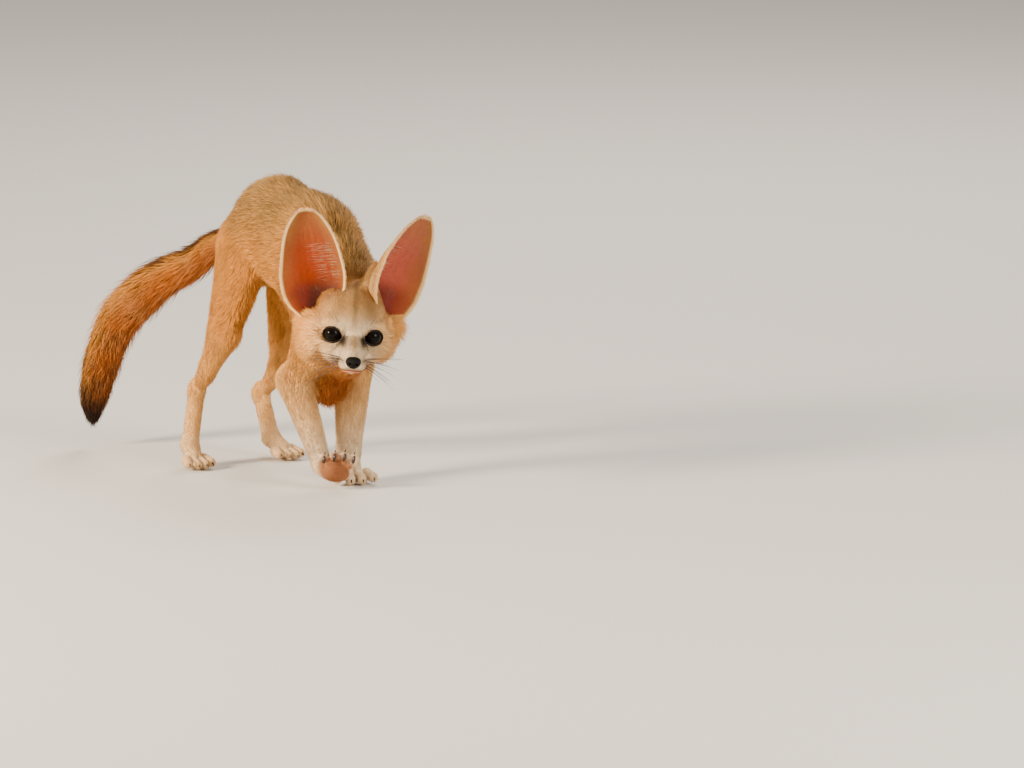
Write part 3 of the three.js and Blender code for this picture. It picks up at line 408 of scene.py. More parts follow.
EARS = {
    "right": dict(base=[-20, -34, 21], tip=[-28, -50, 101], facing=[1, -0.05, -0.1], outward=-1,
                  inner=[12, 18, 27, 28.5, 27, 23.5, 18, 12, 6.5, 2],
                  outer=[12, 22, 26, 27, 25, 21.5, 16.5, 10, 5.5, 2], depth=[11, 17, 18, 14, 9, 5.5, 2],
                  curl=[0, 2, 3, 2, 1, 0, 0]),
    "left": dict(base=[-22, 33, 23], tip=[-33, 55.5, 102], facing=[0.84, 0.55, -0.1], outward=1,
                 inner=[12, 19, 24.5, 27, 27, 23.5, 18, 12, 6.5, 2],
                 outer=[12, 20, 23.5, 24, 22, 18.5, 14.5, 9.5, 5.5, 2], depth=[13, 20, 22, 18, 11.5, 7, 2],
                 curl=[2, 4, 5, 4, 2, 1, 0]),
}
EAR_WIDTH_AT = [-0.14, 0, 0.13, 0.28, 0.45, 0.65, 0.81, 0.92, 0.975, 1]
EAR_DEPTH_AT = [-0.14, 0, 0.17, 0.4, 0.64, 0.82, 1]


def ear_axes(ear):
    base, tip = in_head(*ear["base"]), in_head(*ear["tip"])
    along = unit(tip - base)
    aim = turned(*ear["facing"])
    facing = unit(aim - along * (aim @ along))
    sideways = unit(np.cross(along, facing))
    outward = sideways * np.sign(sideways @ LEFT) * ear["outward"]
    return base, np.linalg.norm(tip - base), along, outward, facing


def ear_bowl(ear):
    base, _, along, outward, facing = ear_axes(ear)
    centre = base + along * 20 + facing * 12
    return egg(centre, [18, 25, 24], 4, "skull", None, [outward, facing, along], True)


def ear_web(ear):
    """The fold of the scalp that runs from the crown up the back of the left ear."""
    base, reach, along, outward, facing = ear_axes(ear)
    high = base + along * reach * 0.34 - outward * 22 - facing * 16
    low = in_head(-34, 8, 25)
    return bone(low, high, 14, 4.5, 10, "skull", flow=high - low)


skull.append(ear_web(EARS["left"]))
eye_hollows = [eye_hollow(m) for m in (-1, 1)]
ear_bowls = [ear_bowl(ear) for ear in EARS.values()]
BODY = [*trunk, *neck, *legs, *palms, *paw_forms, *tail_forms(), *skull, *ear_bowls, *eye_hollows]


# Field, negative inside the skin

FAR = 60.0
FORM_MARGIN = 10


def soft_min(a, b, blend):
    h = np.maximum(blend - np.abs(a - b), 0) / blend
    return np.minimum(a, b) - h * h * blend * 0.25


def blended(value, form, d):
    d = d + form.coat
    return -soft_min(-value, d, form.blend) if form.hollow else soft_min(value, d, form.blend)


def field(p, forms):
    value = np.full(len(p), FAR)
    for form in forms:
        margin = FORM_MARGIN + form.blend
        near = np.all((p > form.lo - margin) & (p < form.hi + margin), axis=1)
        if near.any():
            value[near] = blended(value[near], form, form.distance(p[near]))
    return value


def field_grid(forms, lo, hi, step):
    lo = np.asarray(lo, float)
    count = np.ceil((np.asarray(hi) - lo) / step).astype(int) + 1
    lines = [lo[i] + step * np.arange(count[i]) for i in range(3)]
    value = np.full(count, FAR)
    for form in forms:
        margin = FORM_MARGIN + form.blend
        cut = []
        for i in range(3):
            first = max(0, int((form.lo[i] - margin - lo[i]) / step))
            last = min(count[i], int((form.hi[i] + margin - lo[i]) / step) + 2)
            cut.append(slice(first, max(first, last)))
        if any(c.stop <= c.start for c in cut):
            continue
        cut = tuple(cut)
        points = np.stack(np.meshgrid(*[lines[i][cut[i]] for i in range(3)], indexing="ij"), -1)
        d = form.distance(points.reshape(-1, 3)).reshape(points.shape[:3])
        value[cut] = blended(value[cut], form, d)
    return value, lo


def slope(p, forms, h=0.4):
    g = np.zeros_like(p)
    for i in range(3):
        e = np.zeros(3)
        e[i] = h
        g[:, i] = (field(p + e, forms) - field(p - e, forms)) / (2 * h)
    return g


def layers(axis):
    """Slices of a grid without its last and without its first layer along an axis."""
    low, high = [slice(None)] * 3, [slice(None)] * 3
    low[axis], high[axis] = slice(0, -1), slice(1, None)
    return tuple(low), tuple(high)


def surface_nets(value, lo, step):
    """Closed quad mesh of the zero level."""
    inside = value < 0
    shape = [n - 1 for n in value.shape]
    crossings = np.zeros(shape, np.int32)
    total = np.zeros([*shape, 3])
    for axis in range(3):
        low, high = layers(axis)
        a, b = value[low], value[high]
        crossed = (a < 0) != (b < 0)
        t = np.where(crossed, a / np.where(crossed, a - b, 1), 0)
        first, second = [other for other in range(3) if other != axis]
        for i in (0, 1):
            for j in (0, 1):
                part = [slice(None)] * 3
                part[first] = slice(i, i + value.shape[first] - 1)
                part[second] = slice(j, j + value.shape[second] - 1)
                here = crossed[tuple(part)]
                crossings += here
                total[..., axis] += np.where(here, t[tuple(part)], 0)
                total[..., first] += here * i
                total[..., second] += here * j
    used = crossings > 0
    index = np.full(shape, -1)
    index[used] = np.arange(used.sum())
    cells = np.stack(np.nonzero(used), -1)
    points = (cells + total[used] / crossings[used][:, None]) * step + lo
    quads = []
    for axis in range(3):
        low, high = layers(axis)
        a = inside[low]
        crossed = a != inside[high]
        first, second = (axis + 1) % 3, (axis + 2) % 3
        for other in (first, second):
            np.moveaxis(crossed, other, 0)[[0, -1]] = False
        e = np.stack(np.nonzero(crossed), -1)
        d1, d2 = np.eye(3, dtype=int)[[first, second]]
        ring = np.stack([index[tuple(q.T)] for q in (e - d1 - d2, e - d2, e, e - d1)], -1)
        flip = ~a[tuple(e.T)]
        ring[flip] = ring[flip][:, ::-1]
        quads.append(ring)
    return points, np.concatenate(quads)


def onto_surface(p, forms, rounds=2, limit=1.0):
    for _ in range(rounds):
        g = slope(p, forms)
        p = p - g * (np.clip(field(p, forms), -limit, limit) / np.maximum((g * g).sum(1), 0.2))[:, None]
    return p


LATTICE = 32


def patterned(p, grain, seed):
    """Smooth noise from -1 to 1 at points, its spots about grain across."""
    lattice = np.random.default_rng(seed).uniform(-1, 1, (LATTICE,) * 3)
    q = np.asarray(p) / grain + 500
    i = np.floor(q).astype(int)
    f = q - i
    f = f * f * (3 - 2 * f)
    out = 0
    for corner in np.ndindex(2, 2, 2):
        weight = np.prod(np.where(corner, f, 1 - f), axis=-1)
        out = out + weight * lattice[tuple(((i + corner) % LATTICE).T)]
    return out


# Markings, with painted shade under the head, on the chest and between the toes

def tail_place(p):
    """Place along the tail from 0 to 1, and how far round to its upper side, -1 to 1."""
    away = np.linalg.norm(p[:, None, :] - tail_line[None, ::2, :], axis=2)
    n = away.argmin(1) * 2
    ahead = units(tail_line[np.minimum(n + 2, TAIL_STEPS)] - tail_line[np.maximum(n - 2, 0)])
    upper = units(off(np.broadcast_to(TAIL_UPPER, p.shape), ahead))
    out = units(off(p - tail_line[n], ahead))
    return n / TAIL_STEPS, (out * upper).sum(1)


def painted(base, *over):
    """A colour, or one to a point, with others laid over it by amounts from 0 to 1 at the points."""
    for colour, amount in over:
        amount = np.clip(amount, 0, 1)[:, None]
        base = base * (1 - amount) + colour * amount
    return base


def chest_painted_shade(p):
    """Painted shade in rust on the front of the chest between the forelegs, which runs out over the inner
    sides of the forelegs.
    """
    return (smooth(-p[:, 1], 30, 62) * smooth(p[:, 2], 158, 122) * smooth(p[:, 2], 55, 85)
            * smooth(np.abs(p[:, 0] - 4), 36, 8))


def body_colour(p, n):
    mottle = patterned(p, 14, 21) * 0.5 + patterned(p, 6, 22) * 0.5
    high = smooth(n[:, 2] + 0.25 * mottle, -0.25, 0.65) * smooth(p[:, 2], 150, 190)
    belly = smooth(-n[:, 2], 0.1, 0.8) * smooth(p[:, 1], -30, 20)
    # Painted shade under the head: orange over the throat and the front of the neck.
    under_head_shade = smooth(-p[:, 1], 45, 75) * smooth(p[:, 2], 165, 140) * smooth(np.abs(p[:, 0] - 2), 48, 20)
    # The rust laid over the chest is painted shade between the forelegs.
    return painted(SAND, (GRIZZLE, high), (SAND_PALE, belly * 0.7), (ORANGE, under_head_shade * (0.45 + 0.2 * mottle)),
                   (RUST, chest_painted_shade(p) * 0.85))


PAW_REACH = 24


def leg_colour(p):
    height = p[:, 2]
    front = smooth(-p[:, 1], -20, 20)
    mottle = patterned(p, 9, 23)
    # The rust on the inner sides of the forelegs is painted shade, run on from the chest.
    c = painted(
        SAND,
        (SAND_PALE, smooth(height, 150, 90)),
        (CREAM, smooth(height, mix(95, 125, front), mix(45, 70, front)) * (0.6 + 0.4 * front)),
        (WHITE_FUR, smooth(height, mix(45, 75, front), mix(8, 30, front)) * (0.55 + 0.45 * front)),
        (RUST, chest_painted_shade(p) * 0.6),
        (ORANGE, smooth(mottle, 0.2, 0.9) * 0.2 * smooth(height, 20, 60)),
    )
    for paw in PAWS.values():
        q = p - paw["ball"]
        place = q @ paw["side"] / (paw["apart"] * 0.97)
        # Darker lines between the toes: painted shade in the gaps between them.
        gap = smooth(np.cos(2 * np.pi * place), 0.55, 0.95) * smooth(q @ paw["forward"], 0, 5)
        on_paw = (np.abs(place) < 1.3) * (np.linalg.norm(q, axis=1) < PAW_REACH)
        c = painted(c, (BROWN_DARK, gap * on_paw * 0.6))
    q = p - J["palm_right"]
    far = np.hypot((q @ raised["side"] - 2.5) / 19, (q @ raised["forward"] - 1) / 16)
    sole = smooth(-(q @ raised["up"]), -1, 4)
    return painted(c, (RUST, sole * smooth(far, 1.05, 0.65) * 0.85),
                   (RUST_DEEP, sole * smooth(far + 0.3 * mottle, 0.9, 0.1) * 0.6))


def head_colour(p):
    f, l, u = from_head(p)
    a = np.abs(l)
    parting = smooth(a + 0.6 * patterned(p, 3, 25), 3.4, 0.6) * smooth(u, 5, 12) * smooth(f, 18, 8)
    frown = hill(a, 2.2 + 0.5 * (7 - u), 1.2) * smooth(u, -3, 1) * smooth(u, 11, 6) * (f > 0)
    bridge = smooth(a, 5, 1) * smooth(f, 2, 16) * smooth(f, 40, 26) * smooth(u, -14, -6)
    tear = hill(a, 8.8 - 0.35 * (u + 1), 3.4, 4) * hill(u, -2.4, 4.4, 4) * (f > 0)
    pad = hill(f, 30, 7) * hill(a, 8, 3.4) * hill(u, -17, 3.4)
    return painted(
        WHITE_FUR * 0.82,
        (BUFF, smooth(u, 7, 17) * smooth(f, 16, -2)),
        (GRIZZLE, smooth(u, 8, 24) * smooth(a, 16, 3) * 0.45),
        (CREAM, smooth(a, 13, 24) * smooth(f, 17, 4) * 0.8),
        (SAND_PALE, smooth(a, 22, 34) * smooth(f, 8, -6) * 0.85),
        (SAND, smooth(a, 30, 42) * smooth(f, 4, -14) * 0.6),
        (SAND, smooth(-f, 22, 38)),
        (SAND_PALE, smooth(-u, 10, 22) * smooth(f, 12, -6) * 0.85),
        (BROWN_DARK, parting * 0.42),
        (BROWN_DARK, frown * 0.12),
        (BUFF, bridge * 0.6),
        (BLACK_FUR, tear * 0.95),
        (BROWN_DARK, pad * 0.3),
    )


def tail_colour(p):
    s, upper = tail_place(p)
    mottle = patterned(p, 9, 24)
    c = painted(ORANGE, (BUFF, smooth(mottle, -0.4, 0.8) * 0.5), (RUST, smooth(-upper, -0.1, 0.8) * 0.45),
                (GOLD, hill(upper, 0.25, 0.5) * 0.8)) * 0.9
    stripe = smooth(upper + 0.2 * mottle, 0.1, 0.6) * smooth(s, 0.42, 0.22)
    end = smooth(s + 0.08 * mottle, 0.58, 0.82) * (0.52 + 0.3 * smooth(upper, -0.5, 0.7))
    ridge = smooth(upper + 0.2 * mottle, 0.7, 1.0)
    return painted(c, (BROWN_DARK, stripe * 0.92), (BROWN_DARK, ridge * 0.35), (BROWN_DARK, end),
                   (BLACK_FUR, smooth(s + 0.06 * mottle, 0.74, 0.9) * 0.94))


# Skin

SKIN_STEP = 1.7


def largest_piece(points, quads):
    """The biggest connected surface of a mesh."""
    label = np.arange(len(points))
    while True:
        low = label[quads].min(1)
        before = label.copy()
        np.minimum.at(label, quads.reshape(-1), np.repeat(low, 4))
        label = label[label]
        if (label == before).all():
            break
    main = label == np.bincount(label).argmax()
    index = np.cumsum(main) - 1
    return points[main], index[quads[main[quads[:, 0]]]]


SKIN_BOX = [-112, -192, -4], [82, 226, 272]
grid, corner = field_grid(BODY, *SKIN_BOX, SKIN_STEP)
skin_points, skin_quads = largest_piece(*surface_nets(grid, corner, SKIN_STEP))
skin_points = onto_surface(skin_points, BODY)
skin_points[:, 2] = np.maximum(skin_points[:, 2], FLOOR_GAP)
skin_normals = units(slope(skin_points, BODY))


COAT_FADE = 2.6
COAT_MARGIN = 20


def coat_at(points, normals):
    """Lie of the coat and its measures, blended from the forms near each point."""
    flow = np.zeros_like(points)
    measures = np.zeros((len(points), 6))
    weights = np.zeros(len(points))
    shares = {name: np.zeros(len(points)) for name in FAMILIES}
    for form in BODY:
        near = np.all((points > form.lo - COAT_MARGIN) & (points < form.hi + COAT_MARGIN), axis=1)
        if form.hollow or not near.any():
            continue
        w = np.exp(-np.maximum(form.distance(points[near]) + form.coat, -4) / COAT_FADE)
        flow[near] += w[:, None] * form.flow
        measures[near] += w[:, None] * np.array(COATS[form.region])
        shares[FAMILY_OF[form.region]][near] += w
        weights[near] += w
    weights = np.maximum(weights, 1e-9)
    down = np.clip(1 - np.abs(normals[:, 2]), 0, 1) * 0.35 * (shares["body"] / weights)
    flow = off(units(flow) - down[:, None] * UP, normals)
    return units(flow), measures / weights[:, None], {k: v / weights for k, v in shares.items()}


def blend_colour(points, normals, shares):
    colours = {"body": body_colour(points, normals), "leg": leg_colour(points), "head": head_colour(points),
               "tail": tail_colour(points)}
    return sum(shares[name][:, None] * colour for name, colour in colours.items())


skin_flow, skin_measures, skin_shares = coat_at(skin_points, skin_normals)
skin_colour = blend_colour(skin_points, skin_normals, skin_shares)


# Building

def placed(name, data):
    thing = bpy.data.objects.new(name, data)
    bpy.context.scene.collection.objects.link(thing)
    return thing


def aimed(name, data, place, aim):
    thing = placed(name, data)
    thing.location = place
    thing.rotation_mode = "QUATERNION"
    thing.rotation_quaternion = (aim - place).to_track_quat("-Z", "Y")
    return thing


def new_mesh(name, points, faces, material, colour, uv=None, sizes=None):
    """faces is an array of loops, all of one size, or a flat list of loops with the size of each face."""
    mesh = bpy.data.meshes.new(name)
    points = (np.asarray(points) + ORIGIN) * MM
    if sizes is None:
        sizes = np.full(len(faces), faces.shape[1])
    loops = np.asarray(faces).reshape(-1)
    mesh.vertices.add(len(points))
    mesh.vertices.foreach_set("co", points.astype(np.float32).ravel())
    mesh.loops.add(len(loops))
    mesh.loops.foreach_set("vertex_index", loops.astype(np.int32))
    mesh.polygons.add(len(sizes))
    mesh.polygons.foreach_set("loop_start", np.concatenate([[0], np.cumsum(sizes)[:-1]]).astype(np.int32))
    mesh.polygons.foreach_set("use_smooth", np.full(len(sizes), True))
    mesh.update(calc_edges=True)
    mesh.validate()
    layer = mesh.attributes.new("Coat", "FLOAT_COLOR", "POINT")
    colour = np.column_stack([np.broadcast_to(colour, points.shape), np.ones(len(points))])
    layer.data.foreach_set("color", colour.astype(np.float32).ravel())
    if uv is not None:
        mesh.uv_layers.new(name="OFBake").data.foreach_set("uv", uv[loops].astype(np.float32).ravel())
    mesh.materials.append(material)
    return placed(name, mesh)


def finished(thing, slot, *nodes):
    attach(thing, "root")
    if nodes:
        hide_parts(*nodes)
    return thing


# Materials

def shader(name, roughness, **sockets):
    material = bpy.data.materials.new(name)
    material.use_nodes = True
    nodes, links = material.node_tree.nodes, material.node_tree.links
    surface = nodes["Principled BSDF"]
    surface.inputs["Roughness"].default_value = roughness
    for socket, value in sockets.items():
        surface.inputs[socket.replace("_", " ")].default_value = value
    return material, nodes, links, surface


def add_node(nodes, kind, **values):
    made = nodes.new(kind)
    for name, value in values.items():
        if name in made.inputs:
            made.inputs[name].default_value = value
        else:
            setattr(made, name, value)
    return made


def coloured(name, roughness, grain, depth, bump, **sockets):
    """A surface in its painted colours, with fine light and dark flecks and a bump of the same grain."""
    material, nodes, links, surface = shader(name, roughness, **sockets)
    paint = add_node(nodes, "ShaderNodeAttribute", attribute_name="Coat")
    place = nodes.new("ShaderNodeTexCoord")
    noise = add_node(nodes, "ShaderNodeTexNoise", Scale=grain, Detail=3.0, Roughness=0.6)
    ramp = add_node(nodes, "ShaderNodeMapRange")
    ramp.inputs["To Min"].default_value = 1 - depth
    ramp.inputs["To Max"].default_value = 1 + depth
    ramp.inputs["From Min"].default_value = 0.3
    ramp.inputs["From Max"].default_value = 0.7
    scaled = add_node(nodes, "ShaderNodeVectorMath", operation="SCALE")
    links.new(place.outputs["Object"], noise.inputs["Vector"])
    links.new(noise.outputs["Fac"], ramp.inputs["Value"])
    links.new(paint.outputs["Color"], scaled.inputs[0])
    links.new(ramp.outputs["Result"], scaled.inputs["Scale"])
    links.new(scaled.outputs["Vector"], surface.inputs["Base Color"])
    if bump:
        relief = add_node(nodes, "ShaderNodeBump", Strength=bump, Distance=0.0006)
        links.new(noise.outputs["Fac"], relief.inputs["Height"])
        links.new(relief.outputs["Normal"], surface.inputs["Normal"])
    return material


skin_material = coloured("fur_ground", 0.9, 900, 0.25, 0.6, Specular_IOR_Level=0.15)
coat_material = coloured("fur", 0.62, 700, 0.12, 0, Specular_IOR_Level=0.1)
tail_material = coloured("fur_long", 0.5, 500, 0.14, 0, Specular_IOR_Level=0.12)
ear_material = coloured("ear_skin", 0.6, 380, 0.10, 0.25, Specular_IOR_Level=0.12, Subsurface_Weight=0.2)

# The skin under the coat is darkened, most under the long coat of the body: painted shade.
ground = 0.62 + 0.2 * (skin_shares["head"] + skin_shares["leg"])
skin = new_mesh("skin", skin_points, skin_quads, skin_material, skin_colour * ground[:, None])
FLESH = ["torso", "neck", "head", "tail_root", "tail_middle", "tail_tip"]
for part in ("thigh", "shank", "hind_foot", "upper_arm", "forearm", "fore_paw"):
    FLESH += [f"{part}_right", f"{part}_left"]
finished(skin, "coat_side", *FLESH)


# Tufts

TUFT_PATCH = 0.003
TUFT_DROOP, TUFT_DEPTH, TUFT_RIDGE = 0.42, 0.35, 0.8
TUFT_SWELL = {1: [1.0, 0.0], 2: [0.75, 1.0, 0.0], 3: [0.7, 1.0, 0.68, 0.0]}


def tuft_rings(name, rings, stations, colours, material, slot, unwrap):
    """Joined three-sided tufts from rings of points, the last ring one point, in root and tip colours."""
    bends = len(rings) - 1
    shades = [(colours[0] * (1 - s) + colours[1] * s)[:, None, :].repeat(ring.shape[1], 1)
              for s, ring in zip(stations, rings)]
    points, tones = np.concatenate(rings, 1), np.concatenate(shades, 1)
    points[..., 2] = np.maximum(points[..., 2], FLOOR_GAP)
    count, per = points.shape[:2]
    faces = [[0, 1, 2]]
    for a, b in ((0, 1), (1, 2), (2, 0)):
        for r in range(bends - 1):
            low, high = r * 3, r * 3 + 3
            faces += [[low + b, low + a, high + a], [low + b, high + a, high + b]]
        faces.append([(bends - 1) * 3 + b, (bends - 1) * 3 + a, per - 1])
    loops = (np.arange(count)[:, None, None] * per + np.array(faces)[None]).reshape(-1, 3)
    across = np.array([-0.5, 0.5, 0] * bends + [0]) * TUFT_PATCH
    along = np.repeat(stations, [3] * bends + [1]) * TUFT_PATCH
    uv = np.clip(unwrap[:, None, :] + np.stack([across, along], -1)[None], 0, 1).reshape(-1, 2)
    return finished(new_mesh(name, points.reshape(-1, 3), loops, material, tones.reshape(-1, 3), uv), slot)


def tuft_ring(centre, side, out, width, wide):
    """Corners of a tuft at one station: two at its sides and one on its outer face, or its tip."""
    if not wide:
        return centre[:, None, :]
    half = (width * wide)[:, None] * 0.5
    return np.stack([centre + side * half, centre - side * half, centre + out * half * TUFT_RIDGE], 1)


def tuft_mesh(name, roots, normals, flows, length, width, lift, colours, material, slot, unwrap, bends=2,
              curl=None):
    """Tapered tufts that leave the skin at a slant and bend down along it."""
    side = np.cross(normals, flows)
    rise = np.radians(lift)[:, None]
    length = length[:, None]
    curl = 0 if curl is None else curl[:, None]
    stations = np.linspace(0, 1, bends + 1)
    rings = []
    for s, wide in zip(stations, TUFT_SWELL[bends]):
        lifted = normals * (np.sin(rise) * length * (s - TUFT_DROOP * s * s) - TUFT_DEPTH * (1 - s))
        centre = roots + flows * (np.cos(rise) * length * s) + lifted + side * (curl * length * s * s)
        rings.append(tuft_ring(centre, side, normals, width, wide))
    return tuft_rings(name, rings, stations, colours, material, slot, unwrap)


# Roots of the coat, spread over the skin by the density that its regions ask for

triangles = np.concatenate([skin_quads[:, [0, 1, 2]], skin_quads[:, [0, 2, 3]]])
corners = skin_points[triangles]
facing = np.cross(corners[:, 1] - corners[:, 0], corners[:, 2] - corners[:, 0])
area = np.linalg.norm(facing, axis=1) / 2
THIN = 1.0


def interpolated(values, chosen, spot):
    picked = values[triangles[chosen]]
    if picked.ndim == 2:
        return (picked * spot).sum(1)
    return (picked * spot[:, :, None]).sum(1)


def scattered(weight):
    """Triangles and places in them, drawn by weight per square millimetre."""
    wanted = area * weight
    total = wanted.sum()
    at = (np.arange(int(total)) + draw.random(int(total))) / int(total) * total
    chosen = np.minimum(np.searchsorted(np.cumsum(wanted), at), len(wanted) - 1)
    a, b = draw.random((2, len(chosen)))
    fold = a + b > 1
    a, b = np.where(fold, 1 - a, a), np.where(fold, 1 - b, b)
    return chosen, np.column_stack([1 - a - b, a, b])


PATCH_SPAN = 0.98


def to_patch(around, along):
    """Places on the unwrap, from turns from -0.5 to 0.5 and shares along."""
    return np.column_stack([around * PATCH_SPAN + 0.5, np.clip(along, 0, 1) * PATCH_SPAN + 0.01])


def cylinder_map(points, start, end, hint):
    u, v, w = axes_along(end - start, hint)
    q = points - start
    return to_patch(np.arctan2(q @ v, q @ u) / (2 * np.pi), q @ w / np.linalg.norm(end - start))


LID_CLEAR = 0.7
NOSE_CLEAR = (37.5, 7, -20)


def free_of_eyes(points):
    """Which points lie clear of the eye openings and the nose pad."""
    keep = np.ones(len(points), bool)
    for m in (-1, 1):
        u, v, w = eye_axes(m)
        q = points - eye_centre(m)
        spread = np.hypot(q @ u / (LID_WIDE + LID_CLEAR), q @ v / (LID_TALL + LID_CLEAR))
        keep &= (spread > 1) | (q @ w < 0)
    f, l, u = from_head(points)
    return keep & ~((f > NOSE_CLEAR[0]) & (np.abs(l) < NOSE_CLEAR[1]) & (u > NOSE_CLEAR[2]))


def away_from_eyes(points, flows, normals):
    """Flows turned outwards around the eyes."""
    for m in (-1, 1):
        u, v, w = eye_axes(m)
        q = points - eye_centre(m)
        radial = (q @ u)[:, None] * u + (q @ v)[:, None] * v
        near = smooth(np.linalg.norm(radial, axis=1), 15, 9)[:, None] * (q @ w > -4)[:, None]
        flows = units(flows * (1 - 0.8 * near) + units(radial) * 0.8 * near)
    return units(off(flows, normals))


REGIONS = {"body": "coat_back", "legs": "coat_legs", "head": "coat_face"}
PIECE_LIMIT = 190000
ROOT_FLOOR = 1.2


def pieces(order, bends):
    """Numbered runs of tufts, none with more triangles than the limit."""
    each = PIECE_LIMIT // (6 * bends - 2)
    return enumerate(np.array_split(order, math.ceil(len(order) / each)), 1)


def region_map(name, points):
    if name == "legs":
        foot = np.array([points[:, 0].mean(), points[:, 1].mean(), 0])
        return cylinder_map(points, foot, foot + [0, 0, 200], SIDE)
    if name == "head":
        return cylinder_map(points, in_head(-45, 0, 0), in_head(42, 0, -14), TOP)
    return cylinder_map(points, np.array([0, -110, 160]), np.array([0, 95, 200]), UP)


def grow_coat(layer, column, bends, broad, long, lift_more):
    """One layer of the coat: column picks its density in COATS."""
    density = skin_measures[:, column][triangles].mean(1) * THIN
    chosen, spot = scattered(density)
    roots = interpolated(skin_points, chosen, spot)
    keep = free_of_eyes(roots) & (roots[:, 2] > ROOT_FLOOR)
    chosen, spot, roots = chosen[keep], spot[keep], roots[keep]
    normals = units(interpolated(skin_normals, chosen, spot))
    flows = interpolated(skin_flow, chosen, spot)
    _, length, width, lift, _, _ = interpolated(skin_measures, chosen, spot).T
    shares = {name: interpolated(values, chosen, spot) for name, values in skin_shares.items()}
    count = len(roots)
    calm = shares["head"] + 0.7 * shares["leg"]

    flows = away_from_eyes(roots, flows, normals)
    swirl = (patterned(roots, 11, 31) * 0.28 + patterned(roots, 4.5, 32) * 0.2) * (1 - 0.6 * calm)
    swirl += draw.normal(0, 0.13, count)
    flows = units(flows + np.cross(normals, flows) * swirl[:, None])

    uneven = 1 + 0.22 * patterned(roots, 7, 33) + draw.normal(0, 0.16, count)
    length = length * long * uneven.clip(0.5, 1.6)
    width = width * broad * draw.uniform(0.7, 1.25, count) / math.sqrt(THIN)
    lift = lift + lift_more + 5 * patterned(roots, 6, 34) * (1 - 0.6 * calm) + draw.normal(0, 3.0, count)
    lift = lift.clip(3, 50)

    base = blend_colour(roots, normals, shares)
    streaks = patterned(roots * [1, 1, 0.3], 2.4, 36) * (0.19 - 0.11 * shares["head"])
    tone = 1 + 0.11 * patterned(roots, 5, 35) + streaks + draw.normal(0, 0.11, count)
    base = base * (1 + (tone - 1) * (1 - 0.35 * calm)).clip(0.6, 1.4)[:, None]
    # Each tuft darkens towards its root, most where the coat is long: painted shade deep in the coat. Its
    # tip is a little lighter.
    shaded_root_colour = base * (0.5 + 0.3 * shares["head"] + 0.2 * shares["leg"])[:, None]
    tip_colour = base * (1.1 - 0.05 * shares["leg"])[:, None]
    grizzled = smooth(normals[:, 2], -0.2, 0.5) * shares["body"] * smooth(roots[:, 2], 160, 190)
    dark_tip = draw.random(count) < 0.3 * grizzled + 0.03 * (1 - calm)
    tip_colour[dark_tip] *= 0.42
    pale_tip = (draw.random(count) < 0.3 * shares["body"]) & ~dark_tip
    tip_colour[pale_tip] = np.minimum(tip_colour[pale_tip] * 1.22, 0.95)

    region = np.where(shares["head"] > 0.5, 2, np.where(shares["leg"] > 0.5, 1, 0))
    for code, (name, slot) in enumerate(REGIONS.items()):
        where = np.nonzero(region == code)[0]
        if not len(where):
            continue
        order = where[np.argsort(roots[where, 1], kind="stable")]
        if name == "legs":
            order = where[np.lexsort((roots[where, 1], roots[where, 0] > 0, roots[where, 1] > 0))]
        for k, part in pieces(order, bends):
            shape = [values[part] for values in (roots, normals, flows, length, width, lift)]
            tuft_mesh(f"{layer}_{name}_{k}", *shape, (shaded_root_colour[part], tip_colour[part]), coat_material,
                      slot, region_map(name, roots[part]), bends, draw.normal(0, 0.12, len(part)))


grow_coat("tufts", 4, 2, 1.0, 1.0, 0)
grow_coat("hairs", 5, 1, 0.72, 0.9, 3)


# Long hair of the tail, laid along its middle line

tail_span = np.linalg.norm(np.diff(tail_line, axis=0), axis=1)
tail_reach = np.concatenate([[0], np.cumsum(tail_span)])
TAIL_LENGTH = tail_reach[-1]


def tail_frames():
    """Axes along the tail that turn as little as they can; the first of each points to its upper side."""
    ahead = units(np.gradient(tail_line, axis=0))
    upper = np.zeros_like(ahead)
    start = TAIL_UPPER
    for n, w in enumerate(ahead):
        start = upper[n] = unit(off(start, w))
    return ahead, upper


tail_ahead, tail_upper = tail_frames()


def along_tail(values, reach):
    """Values of the tail's middle line at a length along it, also a little past its end."""
    inside = np.clip(reach, 0, TAIL_LENGTH)
    if values.ndim == 1:
        return np.interp(inside, tail_reach, values)
    return np.stack([np.interp(inside, tail_reach, values[:, i]) for i in range(3)], -1)


TAIL_HAIRS, TAIL_HAIR_LENGTH = 21500, 24
TAIL_STRAYS = 0.07


